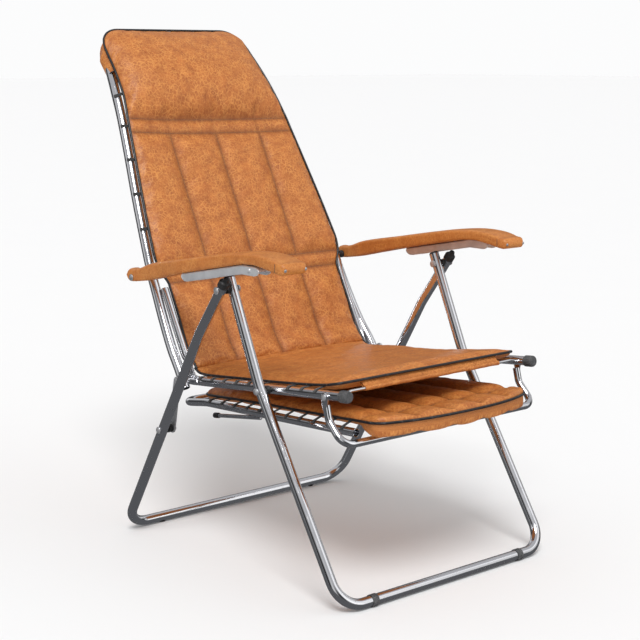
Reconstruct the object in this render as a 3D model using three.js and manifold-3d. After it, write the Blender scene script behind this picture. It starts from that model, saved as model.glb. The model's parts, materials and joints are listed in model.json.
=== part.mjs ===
// Folding lounge chair: chrome tube frame, padded vinyl sling, hooked armrests and a footrest that
// slides out from under the seat. Millimetres, +Z up. The chair faces -Y, and its left is +X.
// All shapes are drawn with y = 0 on the front floor bar and z = 0 on the floor. The last group
// moves the chair over the middle of its own footprint.

import * as THREE from 'three';
import { mergeVertices } from 'three/addons/utils/BufferGeometryUtils.js';
import Module from 'manifold-3d';

const wasm = await Module();
wasm.setup();

// ---------------------------------------------------------------- driving dimensions

const CENTRE_Y = 431.3;
const GAP = 0.3;

const LEG_RADIUS = 10;
const SEAT_RAIL_RADIUS = 9;
const STAY_RADIUS = 8;
const FOOTREST_RADIUS = 8;
const HANGER_RADIUS = 7;
const TUBE_WALL = 1.4;
const FLOOR_BEND = 50;

const SHANK_RADIUS = 4;
const BORE_RADIUS = 4.4;
const HEAD_RADIUS = 7;
const HEAD_HEIGHT = 3.6;

// Half widths, from the middle plane to the axis of each tube or plate.
const FRONT_LEG_X = 265;
const REAR_LEG_X = 292;
const SEAT_RAIL_X = 237.5;
const STAY_X = 232;
const HANGER_X = 245.5;
const FOOTREST_RAIL_X = 205;
const RACK_X = 292;

// Points of the side view, as [y, z].
const FLOOR_BAR_Z = 11.5;
const FRONT_FOOT = [0, FLOOR_BAR_Z];
const REAR_FOOT = [651, FLOOR_BAR_Z];
const APEX = [309.6, 546.3];
const SEAT_PIVOT = [227.5, 366.5];
const BACK_PIVOT = [490, 340];
const ARM_PIVOT = [611, 536];
const LINK_PIVOT = [509.5, 243];
const LEG_KINK = [231, 372];
const REAR_LEG_BEND = [380.7, 453];
const FRONT_LEG_REACH = 21.5;
const REAR_LEG_REACH = 20;

const SEAT_RAIL_FRONT = [17, 388.5];
const SEAT_RAIL_REAR = [452, 342.7];
const HANGER_RIVET = [65, 381];
const HANGER_BAR = [18, 302];
const FRONT_ROD = [45, 390];

const SIDES = [['right', -1], ['left', 1]];

// ---------------------------------------------------------------- materials

function metal(color, roughness) {
  return new THREE.MeshStandardMaterial({ color, roughness, metalness: 1 });
}

function plastic(color, roughness) {
  return new THREE.MeshStandardMaterial({ color, roughness, metalness: 0 });
}

const chrome = metal(0xd8dadd, 0.12);
const zincPlate = metal(0x8f9296, 0.35);
const satinAluminium = metal(0xb9bcc0, 0.38);
const blackPlastic = plastic(0x1b1b1c, 0.45);
const greyPlastic = plastic(0x4a4b4d, 0.6);
const vinyl = plastic(0xc47a3f, 0.55);
const armVinyl = plastic(0xb76f35, 0.5);

// ---------------------------------------------------------------- solids

function solidOf(geometry) {
  const bare = geometry.clone();
  bare.deleteAttribute('normal');
  bare.deleteAttribute('uv');
  const merged = mergeVertices(bare);
  const vertProperties = Float32Array.from(merged.attributes.position.array);
  const triVerts = Uint32Array.from(merged.index.array);
  return new wasm.Manifold(new wasm.Mesh({ numProp: 3, vertProperties, triVerts }));
}

function geometryOf(solid) {
  const mesh = solid.getMesh();
  const geometry = new THREE.BufferGeometry();
  geometry.setAttribute('position', new THREE.Float32BufferAttribute(mesh.vertProperties, 3));
  geometry.setIndex(new THREE.Uint32BufferAttribute(mesh.triVerts, 1));
  const faceted = geometry.toNonIndexed();
  faceted.computeVertexNormals();
  return faceted;
}

function joined(...geometries) {
  return geometryOf(geometries.map(solidOf).reduce((whole, piece) => whole.add(piece)));
}

function cut(geometry, ...tools) {
  return geometryOf(tools.map(solidOf).reduce((whole, tool) => whole.subtract(tool), solidOf(geometry)));
}

function common(first, second) {
  return geometryOf(solidOf(first).intersect(solidOf(second)));
}

function at(x, [y, z]) {
  return new THREE.Vector3(x, y, z);
}

// The point that lies a distance beyond the second of two side-view points.
function beyond([y0, z0], [y1, z1], distance) {
  const length = Math.hypot(y1 - y0, z1 - z0);
  return [y1 + (y1 - y0) * distance / length, z1 + (z1 - z0) * distance / length];
}

// ---------------------------------------------------------------- tubes

// A path with one step between each two of its stations, so straight runs stay one long facet.
class StationPath extends THREE.Curve {
  constructor(stations) {
    super();
    this.stations = stations;
  }

  getPointAt(u) {
    const place = u * (this.stations.length - 1);
    const index = Math.min(Math.floor(place + 1e-6), this.stations.length - 2);
    return this.stations[index].clone().lerp(this.stations[index + 1], place - index);
  }

  getTangentAt(u) {
    const index = Math.round(u * (this.stations.length - 1));
    const here = this.stations[index];
    const before = this.stations[Math.max(index - 1, 0)];
    const after = this.stations[Math.min(index + 1, this.stations.length - 1)];
    const arriving = here.clone().sub(before).normalize();
    const leaving = after.clone().sub(here).normalize();
    return arriving.add(leaving).normalize();
  }
}

// Stations along straight runs that meet in round bends. A corner is [point] or [point, bend radius].
function bentRun(corners, anglePerStep = Math.PI / 8) {
  return corners.flatMap(([point, bend = 0], i) => {
    if (bend === 0) {
      return [point];
    }
    const back = corners[i - 1][0].clone().sub(point).normalize();
    const ahead = corners[i + 1][0].clone().sub(point).normalize();
    const turn = Math.PI - back.angleTo(ahead);
    const setback = bend * Math.tan(turn / 2);
    const centre = back.clone().add(ahead).setLength(bend / Math.cos(turn / 2)).add(point);
    const start = back.clone().multiplyScalar(setback).add(point).sub(centre);
    const end = ahead.clone().multiplyScalar(setback).add(point).sub(centre);
    const axis = start.clone().cross(end).normalize();
    const steps = Math.max(2, Math.ceil(turn / anglePerStep));
    return Array.from({ length: steps + 1 }, (_, k) => (
      start.clone().applyAxisAngle(axis, turn * k / steps).add(centre)));
  });
}

function circle(radius, sides) {
  return Array.from({ length: sides }, (_, k) => {
    const angle = 2 * Math.PI * (k + 0.5) / sides;
    return new THREE.Vector2(radius * Math.cos(angle), radius * Math.sin(angle));
  });
}

function rod(stations, radius, sides = 12) {
  const section = new THREE.Shape(circle(radius, sides));
  const extrudePath = new StationPath(stations);
  return new THREE.ExtrudeGeometry(section, { steps: stations.length - 1, extrudePath });
}

function tube(stations, radius) {
  const section = new THREE.Shape(circle(radius, 12));
  section.holes.push(new THREE.Path(circle(radius - TUBE_WALL, 8)));
  const extrudePath = new StationPath(stations);
  return new THREE.ExtrudeGeometry(section, { steps: stations.length - 1, extrudePath });
}

// Squashes the stretch of a rod from one side-view point to another into a flat tongue.
function flattened(geometry, [y0, z0], [y1, z1], radius, x, laneX, halfThickness) {
  const length = Math.hypot(y1 - y0, z1 - z0);
  const along = [(y1 - y0) / length, (z1 - z0) / length];
  const position = geometry.attributes.position;
  for (let i = 0; i < position.count; i += 1) {
    const run = (position.getY(i) - y0) * along[0] + (position.getZ(i) - z0) * along[1];
    const share = THREE.MathUtils.smoothstep(run / length, 0, 1);
    const squash = THREE.MathUtils.lerp(1, halfThickness / radius, share);
    const middle = THREE.MathUtils.lerp(x, laneX, share);
    position.setX(i, middle + (position.getX(i) - x) * squash);
  }
  return geometry;
}

// ---------------------------------------------------------------- turned pieces and plates

// A profile of [radius, height] pairs turned about a line that starts at origin.
function turned(profile, origin, direction, segments = 12) {
  const points = profile.map(([radius, height]) => new THREE.Vector2(radius, height));
  const upright = new THREE.Vector3(0, 1, 0);
  const turn = new THREE.Quaternion().setFromUnitVectors(upright, direction.clone().normalize());
  return new THREE.LatheGeometry(points, segments)
    .applyQuaternion(turn)
    .translate(origin.x, origin.y, origin.z);
}

function across(side) {
  return new THREE.Vector3(side, 0, 0);
}

// A bolt with a flat inner head and a domed outer head, between two half widths.
function bolt(side, point, innerX, outerX, headRadius = HEAD_RADIUS) {
  const grip = outerX - innerX;
  const profile = [
    [0, -HEAD_HEIGHT],
    [headRadius, -HEAD_HEIGHT],
    [headRadius, 0],
    [SHANK_RADIUS, 0],
    [SHANK_RADIUS, grip],
    [headRadius, grip],
    [headRadius * 0.88, grip + HEAD_HEIGHT * 0.6],
    [headRadius * 0.5, grip + HEAD_HEIGHT * 0.92],
    [0, grip + HEAD_HEIGHT],
  ];
  return turned(profile, at(side * innerX, point), across(side));
}

function ring(side, point, innerX, outerX, innerRadius, outerRadius, segments = 12) {
  const width = outerX - innerX;
  const profile = [
    [innerRadius, width],
    [innerRadius, 0],
    [outerRadius, 0],
    [outerRadius, width],
    [innerRadius, width],
  ];
  return turned(profile, at(side * innerX, point), across(side), segments);
}

function spacer(side, point, innerX, outerX) {
  return ring(side, point, innerX + GAP, outerX - GAP, BORE_RADIUS, HEAD_RADIUS + 1);
}

function borer(side, point, innerX, outerX, radius = BORE_RADIUS) {
  const profile = [[0, 0], [radius, 0], [radius, outerX - innerX], [0, outerX - innerX]];
  return turned(profile, at(side * innerX, point), across(side), 12);
}

function extruded(outline, depth) {
  return new THREE.ExtrudeGeometry(outline, { depth, bevelEnabled: false, curveSegments: 6 });
}

// A side-view outline in (y, z), made solid from one x to another.
function slab(outline, x0, x1) {
  const sideView = new THREE.Matrix4().makeBasis(
    new THREE.Vector3(0, 1, 0), new THREE.Vector3(0, 0, 1), new THREE.Vector3(1, 0, 0));
  const low = Math.min(x0, x1);
  return extruded(outline, Math.abs(x1 - x0))
    .applyMatrix4(sideView)
    .translate(low, 0, 0);
}

// A top-view outline in (x, y), made solid between two heights.
function planPrism(outline, z0, z1) {
  return extruded(outline, z1 - z0).translate(0, 0, z0);
}

// A front-view outline in (x, z), made solid between two depths.
function frontPrism(outline, y0, y1) {
  const frontView = new THREE.Matrix4().makeBasis(
    new THREE.Vector3(1, 0, 0), new THREE.Vector3(0, 0, 1), new THREE.Vector3(0, -1, 0));
  return extruded(outline, y1 - y0).applyMatrix4(frontView).translate(0, y1, 0);
}

function points2(pairs) {
  return pairs.map(([u, v]) => new THREE.Vector2(u, v));
}

// The outline of a sheet that follows a side-view curve, thicker on the sitter's side.
function sheetOutline(pairs, divisions, behind, inFront) {
  const curve = new THREE.SplineCurve(points2(pairs));
  const offset = (share, distance) => {
    const point = curve.getPointAt(share);
    const tangent = curve.getTangentAt(share);
    return new THREE.Vector2(point.x - tangent.y * distance, point.y + tangent.x * distance);
  };
  const shares = Array.from({ length: divisions + 1 }, (_, k) => k / divisions);
  const rear = shares.map((share) => offset(share, -behind));
  const front = shares.map((share) => offset(share, inFront)).reverse();
  return new THREE.Shape([...rear, ...front]);
}

// A symmetric outline from the points of its +x half, listed from low to high.
function mirroredOutline(half) {
  const right = half.map(([x, v]) => [-x, v]).reverse();
  return new THREE.Shape(points2([...half, ...right]));
}

// A quarter circle of points from one direction to the next, for a rounded corner.
function corner([u, v], radius, startAngle, steps = 4) {
  return Array.from({ length: steps + 1 }, (_, k) => {
    const angle = startAngle + Math.PI / 2 * k / steps;
    return [u + radius * Math.cos(angle), v + radius * Math.sin(angle)];
  });
}

// ---------------------------------------------------------------- the chair as a scene graph

const chair = new THREE.Group();
chair.position.y = -CENTRE_Y;

function add(name, geometry, material) {
  const mesh = new THREE.Mesh(geometry, material);
  mesh.name = name;
  chair.add(mesh);
}

function addPair(name, build, material) {
  for (const [label, side] of SIDES) {
    add(`${name}_${label}`, build(side), material);
  }
}

// ---- front legs: one tube from apex to apex, across the floor

const FRONT_LEG_TOP = beyond(LEG_KINK, APEX, FRONT_LEG_REACH);
const LEG_KINK_BEND = 160;

function frontLegFrame() {
  const half = (side) => [
    [at(side * FRONT_LEG_X, FRONT_LEG_TOP)],
    [at(side * FRONT_LEG_X, LEG_KINK), LEG_KINK_BEND],
    [at(side * FRONT_LEG_X, FRONT_FOOT), FLOOR_BEND],
  ];
  const frame = tube(bentRun([...half(-1), ...half(1).reverse()]), LEG_RADIUS);
  const bores = SIDES.flatMap(([, side]) => [APEX, SEAT_PIVOT].map((point) => (
    borer(side, point, FRONT_LEG_X - LEG_RADIUS - 1, FRONT_LEG_X + LEG_RADIUS + 1))));
  return cut(frame, ...bores);
}

// A push-in plug that closes a tube end, with a low dome outside.
function endPlug(side, x, inside, end) {
  const stem = LEG_RADIUS - TUBE_WALL - 0.8;
  const profile = [
    [0, -14],
    [stem, -14],
    [stem, GAP],
    [LEG_RADIUS, GAP],
    [LEG_RADIUS * 0.85, 2.6],
    [LEG_RADIUS * 0.5, 4.2],
    [0, 4.8],
  ];
  const axis = at(0, end).sub(at(0, inside));
  return turned(profile, at(side * x, end), axis);
}

const FOOT_RING_X = 190;
const FOOT_RING_WIDTH = 14;

add('front_leg_frame', frontLegFrame(), chrome);
addPair('front_leg_plug', (side) => endPlug(side, FRONT_LEG_X, APEX, FRONT_LEG_TOP), blackPlastic);
addPair('front_foot_ring', (side) => ring(
  side, FRONT_FOOT, FOOT_RING_X - FOOT_RING_WIDTH / 2, FOOT_RING_X + FOOT_RING_WIDTH / 2,
  LEG_RADIUS + GAP + 0.1, FLOOR_BAR_Z, 24), greyPlastic);

// ---- rear legs: a wider tube frame that crosses outside the front one

const REAR_LEG_TOP = beyond(REAR_LEG_BEND, APEX, REAR_LEG_REACH);
const REAR_LEG_BEND_RADIUS = 120;
const REAR_STUD_X = 204;
const STUD_HOLE_RADIUS = 2.9;
const UP = new THREE.Vector3(0, 0, 1);

function rearLegFrame() {
  const half = (side) => [
    [at(side * REAR_LEG_X, REAR_LEG_TOP)],
    [at(side * REAR_LEG_X, REAR_LEG_BEND), REAR_LEG_BEND_RADIUS],
    [at(side * REAR_LEG_X, REAR_FOOT), FLOOR_BEND],
  ];
  const frame = tube(bentRun([...half(-1), ...half(1).reverse()]), LEG_RADIUS);
  const bores = SIDES.flatMap(([, side]) => [APEX, LINK_PIVOT].map((point) => (
    borer(side, point, REAR_LEG_X - LEG_RADIUS - 1, REAR_LEG_X + LEG_RADIUS + 1))));
  const holeProfile = [[0, -1], [STUD_HOLE_RADIUS, -1], [STUD_HOLE_RADIUS, 8], [0, 8]];
  const studHoles = SIDES.map(([, side]) => turned(holeProfile, studFoot(side), UP, 10));
  return cut(frame, ...bores, ...studHoles);
}

function studFoot(side) {
  return new THREE.Vector3(side * REAR_STUD_X, REAR_FOOT[0], 0);
}

// A round rubber foot, hollowed to the bar's curve, with a stem that snaps into the bar.
function rearStud(side) {
  const foot = studFoot(side);
  const padProfile = [[0, 0], [6, 0], [7, 1], [7, 5], [0, 5]];
  const stemProfile = [[0, 0.5], [2.4, 0.5], [2.4, 6], [0, 6]];
  const bar = borer(side, REAR_FOOT, REAR_STUD_X - 10, REAR_STUD_X + 10, LEG_RADIUS + 3 * GAP);
  return joined(cut(turned(padProfile, foot, UP, 14), bar), turned(stemProfile, foot, UP, 10));
}

// The plastic cap on a rear leg's top. Its narrow tip is the peg that hooks into the rack.
function rearLegCap(side) {
  const inner = LEG_RADIUS + GAP;
  const profile = [
    [inner, -10],
    [inner + 1.1, -10],
    [inner + 1.1, GAP],
    [inner, 3],
    [8, 5],
    [7, 9],
    [5, 11.5],
    [0, 12.5],
    [0, GAP],
    [inner, GAP],
    [inner, -10],
  ];
  const axis = at(0, REAR_LEG_TOP).sub(at(0, APEX));
  return turned(profile, at(side * REAR_LEG_X, REAR_LEG_TOP), axis, 20);
}

add('rear_leg_frame', rearLegFrame(), chrome);
addPair('rear_leg_cap', rearLegCap, blackPlastic);
addPair('rear_foot_stud', rearStud, blackPlastic);

// ---- apex: the bolt on which the two leg frames scissor

const FRONT_LEG_INNER = FRONT_LEG_X - LEG_RADIUS;
const FRONT_LEG_OUTER = FRONT_LEG_X + LEG_RADIUS;
const REAR_LEG_INNER = REAR_LEG_X - LEG_RADIUS;
const REAR_LEG_OUTER = REAR_LEG_X + LEG_RADIUS;

addPair('apex_bolt', (side) => bolt(side, APEX, FRONT_LEG_INNER - GAP, REAR_LEG_OUTER + GAP), zincPlate);
addPair('apex_spacer', (side) => spacer(side, APEX, FRONT_LEG_OUTER, REAR_LEG_INNER), blackPlastic);

// ---- links: flat bars from the rear legs up to the back hinge

const LINK_INNER = 268.3;
const LINK_OUTER = 271.3;
const LINK_HALF_WIDTH = 10;

function linkBar(side) {
  const along = at(0, BACK_PIVOT).sub(at(0, LINK_PIVOT));
  const heading = Math.atan2(along.z, along.y);
  const outline = new THREE.Shape();
  outline.absarc(...BACK_PIVOT, LINK_HALF_WIDTH, heading - Math.PI / 2, heading + Math.PI / 2, false);
  outline.absarc(...LINK_PIVOT, LINK_HALF_WIDTH, heading + Math.PI / 2, heading + Math.PI * 1.5, false);
  const bar = slab(outline, side * LINK_INNER, side * LINK_OUTER);
  const bores = [BACK_PIVOT, LINK_PIVOT].map((point) => borer(side, point, LINK_INNER - 1, LINK_OUTER + 1));
  return cut(bar, ...bores);
}

// The short rivet in the link's upper hole. It ends before the back hinge bolt.
function linkEndRivet(side) {
  const start = LINK_INNER + GAP;
  const profile = [
    [0, 0],
    [SHANK_RADIUS, 0],
    [SHANK_RADIUS, LINK_OUTER - LINK_INNER],
    [HEAD_RADIUS, LINK_OUTER - LINK_INNER],
    [HEAD_RADIUS * 0.7, LINK_OUTER - LINK_INNER + 2.4],
    [0, LINK_OUTER - LINK_INNER + 3.2],
  ];
  return turned(profile, at(side * start, BACK_PIVOT), across(side));
}

addPair('link_bar', linkBar, zincPlate);
addPair('link_end_rivet', linkEndRivet, zincPlate);
addPair('link_rivet', (side) => bolt(side, LINK_PIVOT, LINK_INNER - GAP, REAR_LEG_OUTER + GAP), zincPlate);
addPair('link_spacer', (side) => spacer(side, LINK_PIVOT, LINK_OUTER, REAR_LEG_INNER), blackPlastic);

// ---- seat rails, with their rear ends pressed flat around the back hinge bolt

const SEAT_TONGUE_HALF = 3;
const SEAT_TONGUE_REACH = 12;

function seatRail(side) {
  const x = side * SEAT_RAIL_X;
  const tongueStart = beyond(SEAT_RAIL_FRONT, SEAT_RAIL_REAR, -10);
  const tongueEnd = beyond(SEAT_RAIL_REAR, BACK_PIVOT, SEAT_TONGUE_REACH);
  const middle = beyond(BACK_PIVOT, SEAT_RAIL_REAR, -13);
  const flat = beyond(BACK_PIVOT, SEAT_RAIL_REAR, -26);
  const pipe = tube([at(x, SEAT_RAIL_FRONT), at(x, SEAT_RAIL_REAR)], SEAT_RAIL_RADIUS);
  const stations = [tongueStart, SEAT_RAIL_REAR, middle, flat, tongueEnd].map((point) => at(x, point));
  const tongue = flattened(
    rod(stations, SEAT_RAIL_RADIUS - 0.1), SEAT_RAIL_REAR, flat, SEAT_RAIL_RADIUS, x, x, SEAT_TONGUE_HALF);
  const innerX = SEAT_RAIL_X - SEAT_RAIL_RADIUS - 1;
  const outerX = SEAT_RAIL_X + SEAT_RAIL_RADIUS + 1;
  return cut(
    joined(pipe, tongue),
    borer(side, SEAT_PIVOT, innerX, outerX),
    borer(side, BACK_PIVOT, innerX, outerX),
    borer(side, FRONT_ROD_MOUTH, innerX, SEAT_RAIL_X, FRONT_ROD_RADIUS + GAP),
    borer(side, HANGER_RIVET, SEAT_RAIL_X, outerX, HANGER_RIVET_RADIUS + GAP));
}

// The plastic cup pushed over a rail's front end.
function railCap(side) {
  const inner = SEAT_RAIL_RADIUS + 2 * GAP;
  const profile = [
    [inner, -15],
    [inner + 1, -15],
    [inner + 1, 2],
    [inner - 1.5, 4],
    [0, 4.6],
    [0, GAP],
    [inner, GAP],
    [inner, -15],
  ];
  const axis = at(0, SEAT_RAIL_FRONT).sub(at(0, SEAT_RAIL_REAR));
  return turned(profile, at(side * SEAT_RAIL_X, SEAT_RAIL_FRONT), axis);
}

// ---- the thin rod across the front that stretches the seat pad's hem

const FRONT_ROD_RADIUS = 3;
const FRONT_ROD_MOUTH = [FRONT_ROD[0], 386.4];
const FRONT_ROD_BEND = 12;
const FRONT_ROD_SHOULDER_X = 205;

function frontRod() {
  const half = (side) => [
    [at(side * (SEAT_RAIL_X - 1.5), FRONT_ROD_MOUTH)],
    [at(side * (SEAT_RAIL_X - SEAT_RAIL_RADIUS - 6), FRONT_ROD_MOUTH), FRONT_ROD_BEND],
    [at(side * FRONT_ROD_SHOULDER_X, FRONT_ROD), FRONT_ROD_BEND],
  ];
  return rod(bentRun([...half(-1), ...half(1).reverse()]), FRONT_ROD_RADIUS, 8);
}

// ---- the hanger under the front of the seat, on which the footrest slides

const HANGER_RIVET_RADIUS = 3;
const HANGER_EAR_THICKNESS = 4;
const HANGER_EAR_INNER = SEAT_RAIL_X + SEAT_RAIL_RADIUS + GAP;
const HANGER_TOP = [64, 367];
const HANGER_KNEE = [57, 340];

function hanger() {
  const half = (side) => [
    [at(side * HANGER_X, HANGER_TOP)],
    [at(side * HANGER_X, HANGER_KNEE), 25],
    [at(side * HANGER_X, HANGER_BAR), 24],
  ];
  const loop = tube(bentRun([...half(-1), ...half(1).reverse()]), HANGER_RADIUS);
  const ears = SIDES.map(([, side]) => {
    const outline = new THREE.Shape();
    outline.absarc(...HANGER_RIVET, 9, 0, Math.PI, false);
    outline.lineTo(HANGER_TOP[0] - 6.5, HANGER_TOP[1] - 11);
    outline.lineTo(HANGER_TOP[0] + 4, HANGER_TOP[1] - 11);
    return slab(outline, side * HANGER_EAR_INNER, side * (HANGER_EAR_INNER + HANGER_EAR_THICKNESS));
  });
  const bores = SIDES.map(([, side]) => borer(
    side, HANGER_RIVET, HANGER_EAR_INNER - 1, HANGER_EAR_INNER + HANGER_EAR_THICKNESS + 1,
    HANGER_RIVET_RADIUS + GAP));
  return cut(joined(loop, ...ears), ...bores);
}

function hangerRivet(side) {
  const head = HANGER_EAR_INNER + HANGER_EAR_THICKNESS + GAP;
  const start = SEAT_RAIL_X + 3;
  const profile = [
    [0, 0],
    [HANGER_RIVET_RADIUS, 0],
    [HANGER_RIVET_RADIUS, head - start],
    [6, head - start],
    [4.5, head - start + 1.7],
    [0, head - start + 2.3],
  ];
  return turned(profile, at(side * start, HANGER_RIVET), across(side));
}

addPair('seat_rail', seatRail, chrome);
addPair('seat_rail_cap', railCap, greyPlastic);
add('seat_front_rod', frontRod(), chrome);
add('footrest_hanger', hanger(), chrome);
addPair('hanger_rivet', hangerRivet, zincPlate);
addPair('seat_pivot_bolt', (side) => bolt(
  side, SEAT_PIVOT, SEAT_RAIL_X - SEAT_RAIL_RADIUS - GAP, FRONT_LEG_OUTER + GAP, 6.5), zincPlate);
addPair('seat_pivot_spacer', (side) => spacer(
  side, SEAT_PIVOT, SEAT_RAIL_X + SEAT_RAIL_RADIUS, FRONT_LEG_INNER), blackPlastic);

// ---- seat pad: a padded sling between the seat rails

const SEAT_PAD_HALF_WIDTH = 222;
const SEAT_PAD_CORNER = 45;

function seatPad() {
  const sheet = slab(sheetOutline([
    [54, 400.5],
    [103, 390],
    [217, 375],
    [340, 362],
    [464, 349],
  ], 12, 4, 9), -SEAT_PAD_HALF_WIDTH, SEAT_PAD_HALF_WIDTH);
  const frontY = 50;
  const rearY = 470;
  const cornerX = SEAT_PAD_HALF_WIDTH - SEAT_PAD_CORNER;
  const outline = mirroredOutline([
    ...corner([cornerX, frontY + SEAT_PAD_CORNER], SEAT_PAD_CORNER, -Math.PI / 2),
    [SEAT_PAD_HALF_WIDTH, rearY],
  ]);
  return common(sheet, planPrism(outline, 300, 450));
}

add('seat_pad', seatPad(), vinyl);

// ---- back frame: one tube from hinge to hinge over the head, splayed at its lower ends

const BACK_RAIL_BASE_X = 254;
const BACK_TOP = [889, 1001];

function backRoute() {
  const half = (side) => [
    [255, 483, 325],
    [253, 506, 360],
    [250.5, 534, 396],
    [247, 568, 452],
    [244.2, 596, 505],
    [243.3, 611, 536],
    [238, 642, 600],
    [228, 687, 690],
    [217, 731, 780],
    [208, 768, 850],
    [198.5, 806, 904],
    [189, 848, 953],
    [180, 874, 983],
    [160, 886, 997],
  ].map(([x, y, z]) => new THREE.Vector3(side * x, y, z));
  const crown = [-130, 0, 130].map((x) => at(x, BACK_TOP));
  const points = [...half(-1), ...crown, ...half(1).reverse()];
  return new THREE.CatmullRomCurve3(points, false, 'centripetal');
}

const BACK_STEPS = 46;
const BACK_STATIONS = backRoute().getSpacedPoints(BACK_STEPS);

function backTube() {
  const frame = tube(BACK_STATIONS, LEG_RADIUS);
  const innerX = BACK_RAIL_BASE_X - LEG_RADIUS - 14;
  const outerX = BACK_RAIL_BASE_X + LEG_RADIUS + 2;
  const bores = SIDES.flatMap(([, side]) => [BACK_PIVOT, ARM_PIVOT].map((point) => (
    borer(side, point, innerX, outerX))));
  return cut(frame, ...bores);
}

// The thinner tube beside each rail, from the hinge bolt up to the armrest.
const STAY_TOP = [584, 511];
const STAY_TONGUE_X = 228.5;

function backStay(side) {
  const x = side * STAY_X;
  const bend = [550, 447];
  const tongueStart = beyond(BACK_PIVOT, bend, -80);
  const flat = beyond(bend, BACK_PIVOT, -24);
  const middle = beyond(bend, BACK_PIVOT, -38);
  const root = beyond(bend, BACK_PIVOT, -52);
  const pipe = tube(bentRun([[at(x, root)], [at(x, bend), 150], [at(x, STAY_TOP)]]), STAY_RADIUS);
  const end = beyond(bend, BACK_PIVOT, 9);
  const stations = [tongueStart, root, middle, flat, end].map((point) => at(x, point));
  const tongue = flattened(
    rod(stations, STAY_RADIUS - 0.1), root, flat, STAY_RADIUS, x, side * STAY_TONGUE_X, 2.5);
  const bore = borer(side, BACK_PIVOT, STAY_TONGUE_X - 5, STAY_TONGUE_X + 5);
  return cut(joined(pipe, tongue), bore);
}

const STAY_TONGUE_INNER = STAY_TONGUE_X - 2.5;
const BACK_RAIL_OUTER = BACK_RAIL_BASE_X + LEG_RADIUS + 0.4;

add('back_frame', backTube(), chrome);
addPair('back_stay', backStay, chrome);
addPair('back_hinge_bolt', (side) => bolt(
  side, BACK_PIVOT, STAY_TONGUE_INNER - GAP, BACK_RAIL_OUTER, 6.5), zincPlate);

// ---- back pad and head pocket

// The side view of the pad's edge, from the crease up to the top of the head.
const BACK_EDGE = [
  [506, 371],
  [523, 392],
  [555, 457],
  [589, 523],
  [610, 572],
  [642, 635],
  [692, 733],
  [748, 842],
  [776, 889],
  [820, 943],
  [850, 974],
  [893, 1022],
];

function backPad() {
  const sheet = slab(sheetOutline(BACK_EDGE, 26, 0.5, 12), -245, 245);
  const outline = mirroredOutline([
    [223, 360],
    [223, 520],
    [238, 546],
    [241, 572],
    [233, 650],
    [222, 733],
    [208, 842],
    [199, 890],
    [189, 950],
    ...corner([141, 978], 45, 0),
  ]);
  return common(sheet, frontPrism(outline, 400, 950));
}

// The pocket behind the head, open below, that slips over the top of the back frame.
function headPocket() {
  const sheet = slab(sheetOutline(BACK_EDGE.slice(9), 8, 25, -0.8), -215, 215);
  const outline = mirroredOutline([
    [203, 940],
    [198, 975],
    ...corner([153, 975], 45, 0),
  ]);
  const tunnel = rod(BACK_STATIONS, LEG_RADIUS + GAP + 0.2);
  return cut(common(sheet, frontPrism(outline, 600, 950)), tunnel);
}

add('back_pad', backPad(), vinyl);
add('head_pocket', headPocket(), vinyl);

// ---- armrests, each on a rivet through the back frame

const ARM_REAR_INNER = 265;
const ARM_REAR_OUTER = 292;
const ARM_FRONT_INNER = 250;
const ARM_FRONT_OUTER = 310;

// The straight underside along which the rack lies, as height over y.
const ARM_SOLE_START = [420, 567];
const ARM_SOLE_END = [228, 605];

// The top of the armrest from behind the rivet to the nose.
const ARM_TOP = [[548, 569], [435, 590], [330, 609], [255, 621], [205, 625.5], [157, 624], [117, 617]];

function armrest(side) {
  const profile = new THREE.Shape();
  profile.absarc(ARM_PIVOT[0] + 6, ARM_PIVOT[1] + 4, 12.5, Math.PI * 1.42, Math.PI * 2.42, false);
  profile.splineThru(points2(ARM_TOP));
  profile.absarc(115, 606.5, 10, Math.PI / 2, Math.PI * 1.5, false);
  profile.splineThru(points2([[150, 602], [190, 607], ARM_SOLE_END]));
  profile.lineTo(...ARM_SOLE_START);
  profile.lineTo(500, 549);
  const plan = new THREE.Shape(points2([
    ...corner([ARM_FRONT_INNER + 20, 120], 20, Math.PI),
    ...corner([ARM_FRONT_OUTER - 20, 120], 20, -Math.PI / 2),
    [ARM_FRONT_OUTER - 1, 430],
    [ARM_REAR_OUTER, 560],
    [ARM_REAR_OUTER, 645],
    [ARM_REAR_INNER, 645],
    [ARM_REAR_INNER, 560],
    [ARM_FRONT_INNER + 2, 430],
  ]));
  const blank = common(slab(profile, 240, 320), planPrism(plan, 480, 660));
  const bored = cut(blank, borer(1, ARM_PIVOT, ARM_REAR_INNER - 2, ARM_REAR_OUTER + 2));
  return side > 0 ? bored : geometryOf(solidOf(bored).mirror([1, 0, 0]));
}

const ARM_SPACER_INNER = 254;

addPair('armrest', armrest, armVinyl);
addPair('armrest_rivet', (side) => bolt(side, ARM_PIVOT, 232.6, ARM_REAR_OUTER + GAP, 6.5), zincPlate);
addPair('armrest_spacer', (side) => spacer(side, ARM_PIVOT, ARM_SPACER_INNER, ARM_REAR_INNER), blackPlastic);

// ---- racks: channels under the armrests that hook over the rear legs' pegs

const RACK_HALF_WIDTH = 14;
const RACK_WALL = 1.5;
const RACK_DEPTH = 17.5;

function rackOutline(drop) {
  const slope = (ARM_SOLE_END[1] - ARM_SOLE_START[1]) / (ARM_SOLE_END[0] - ARM_SOLE_START[0]);
  const top = (y) => ARM_SOLE_START[1] + slope * (y - ARM_SOLE_START[0]) - GAP - drop;
  return new THREE.Shape(points2([
    [402, top(402) - RACK_DEPTH],
    [417, top(417)],
    [232, top(232)],
    [196, top(232) + 2.2],
    [178, top(232) - 2.5],
    [184, top(232) - 8],
    [205, top(205) - RACK_DEPTH + 1],
  ]));
}

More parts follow.
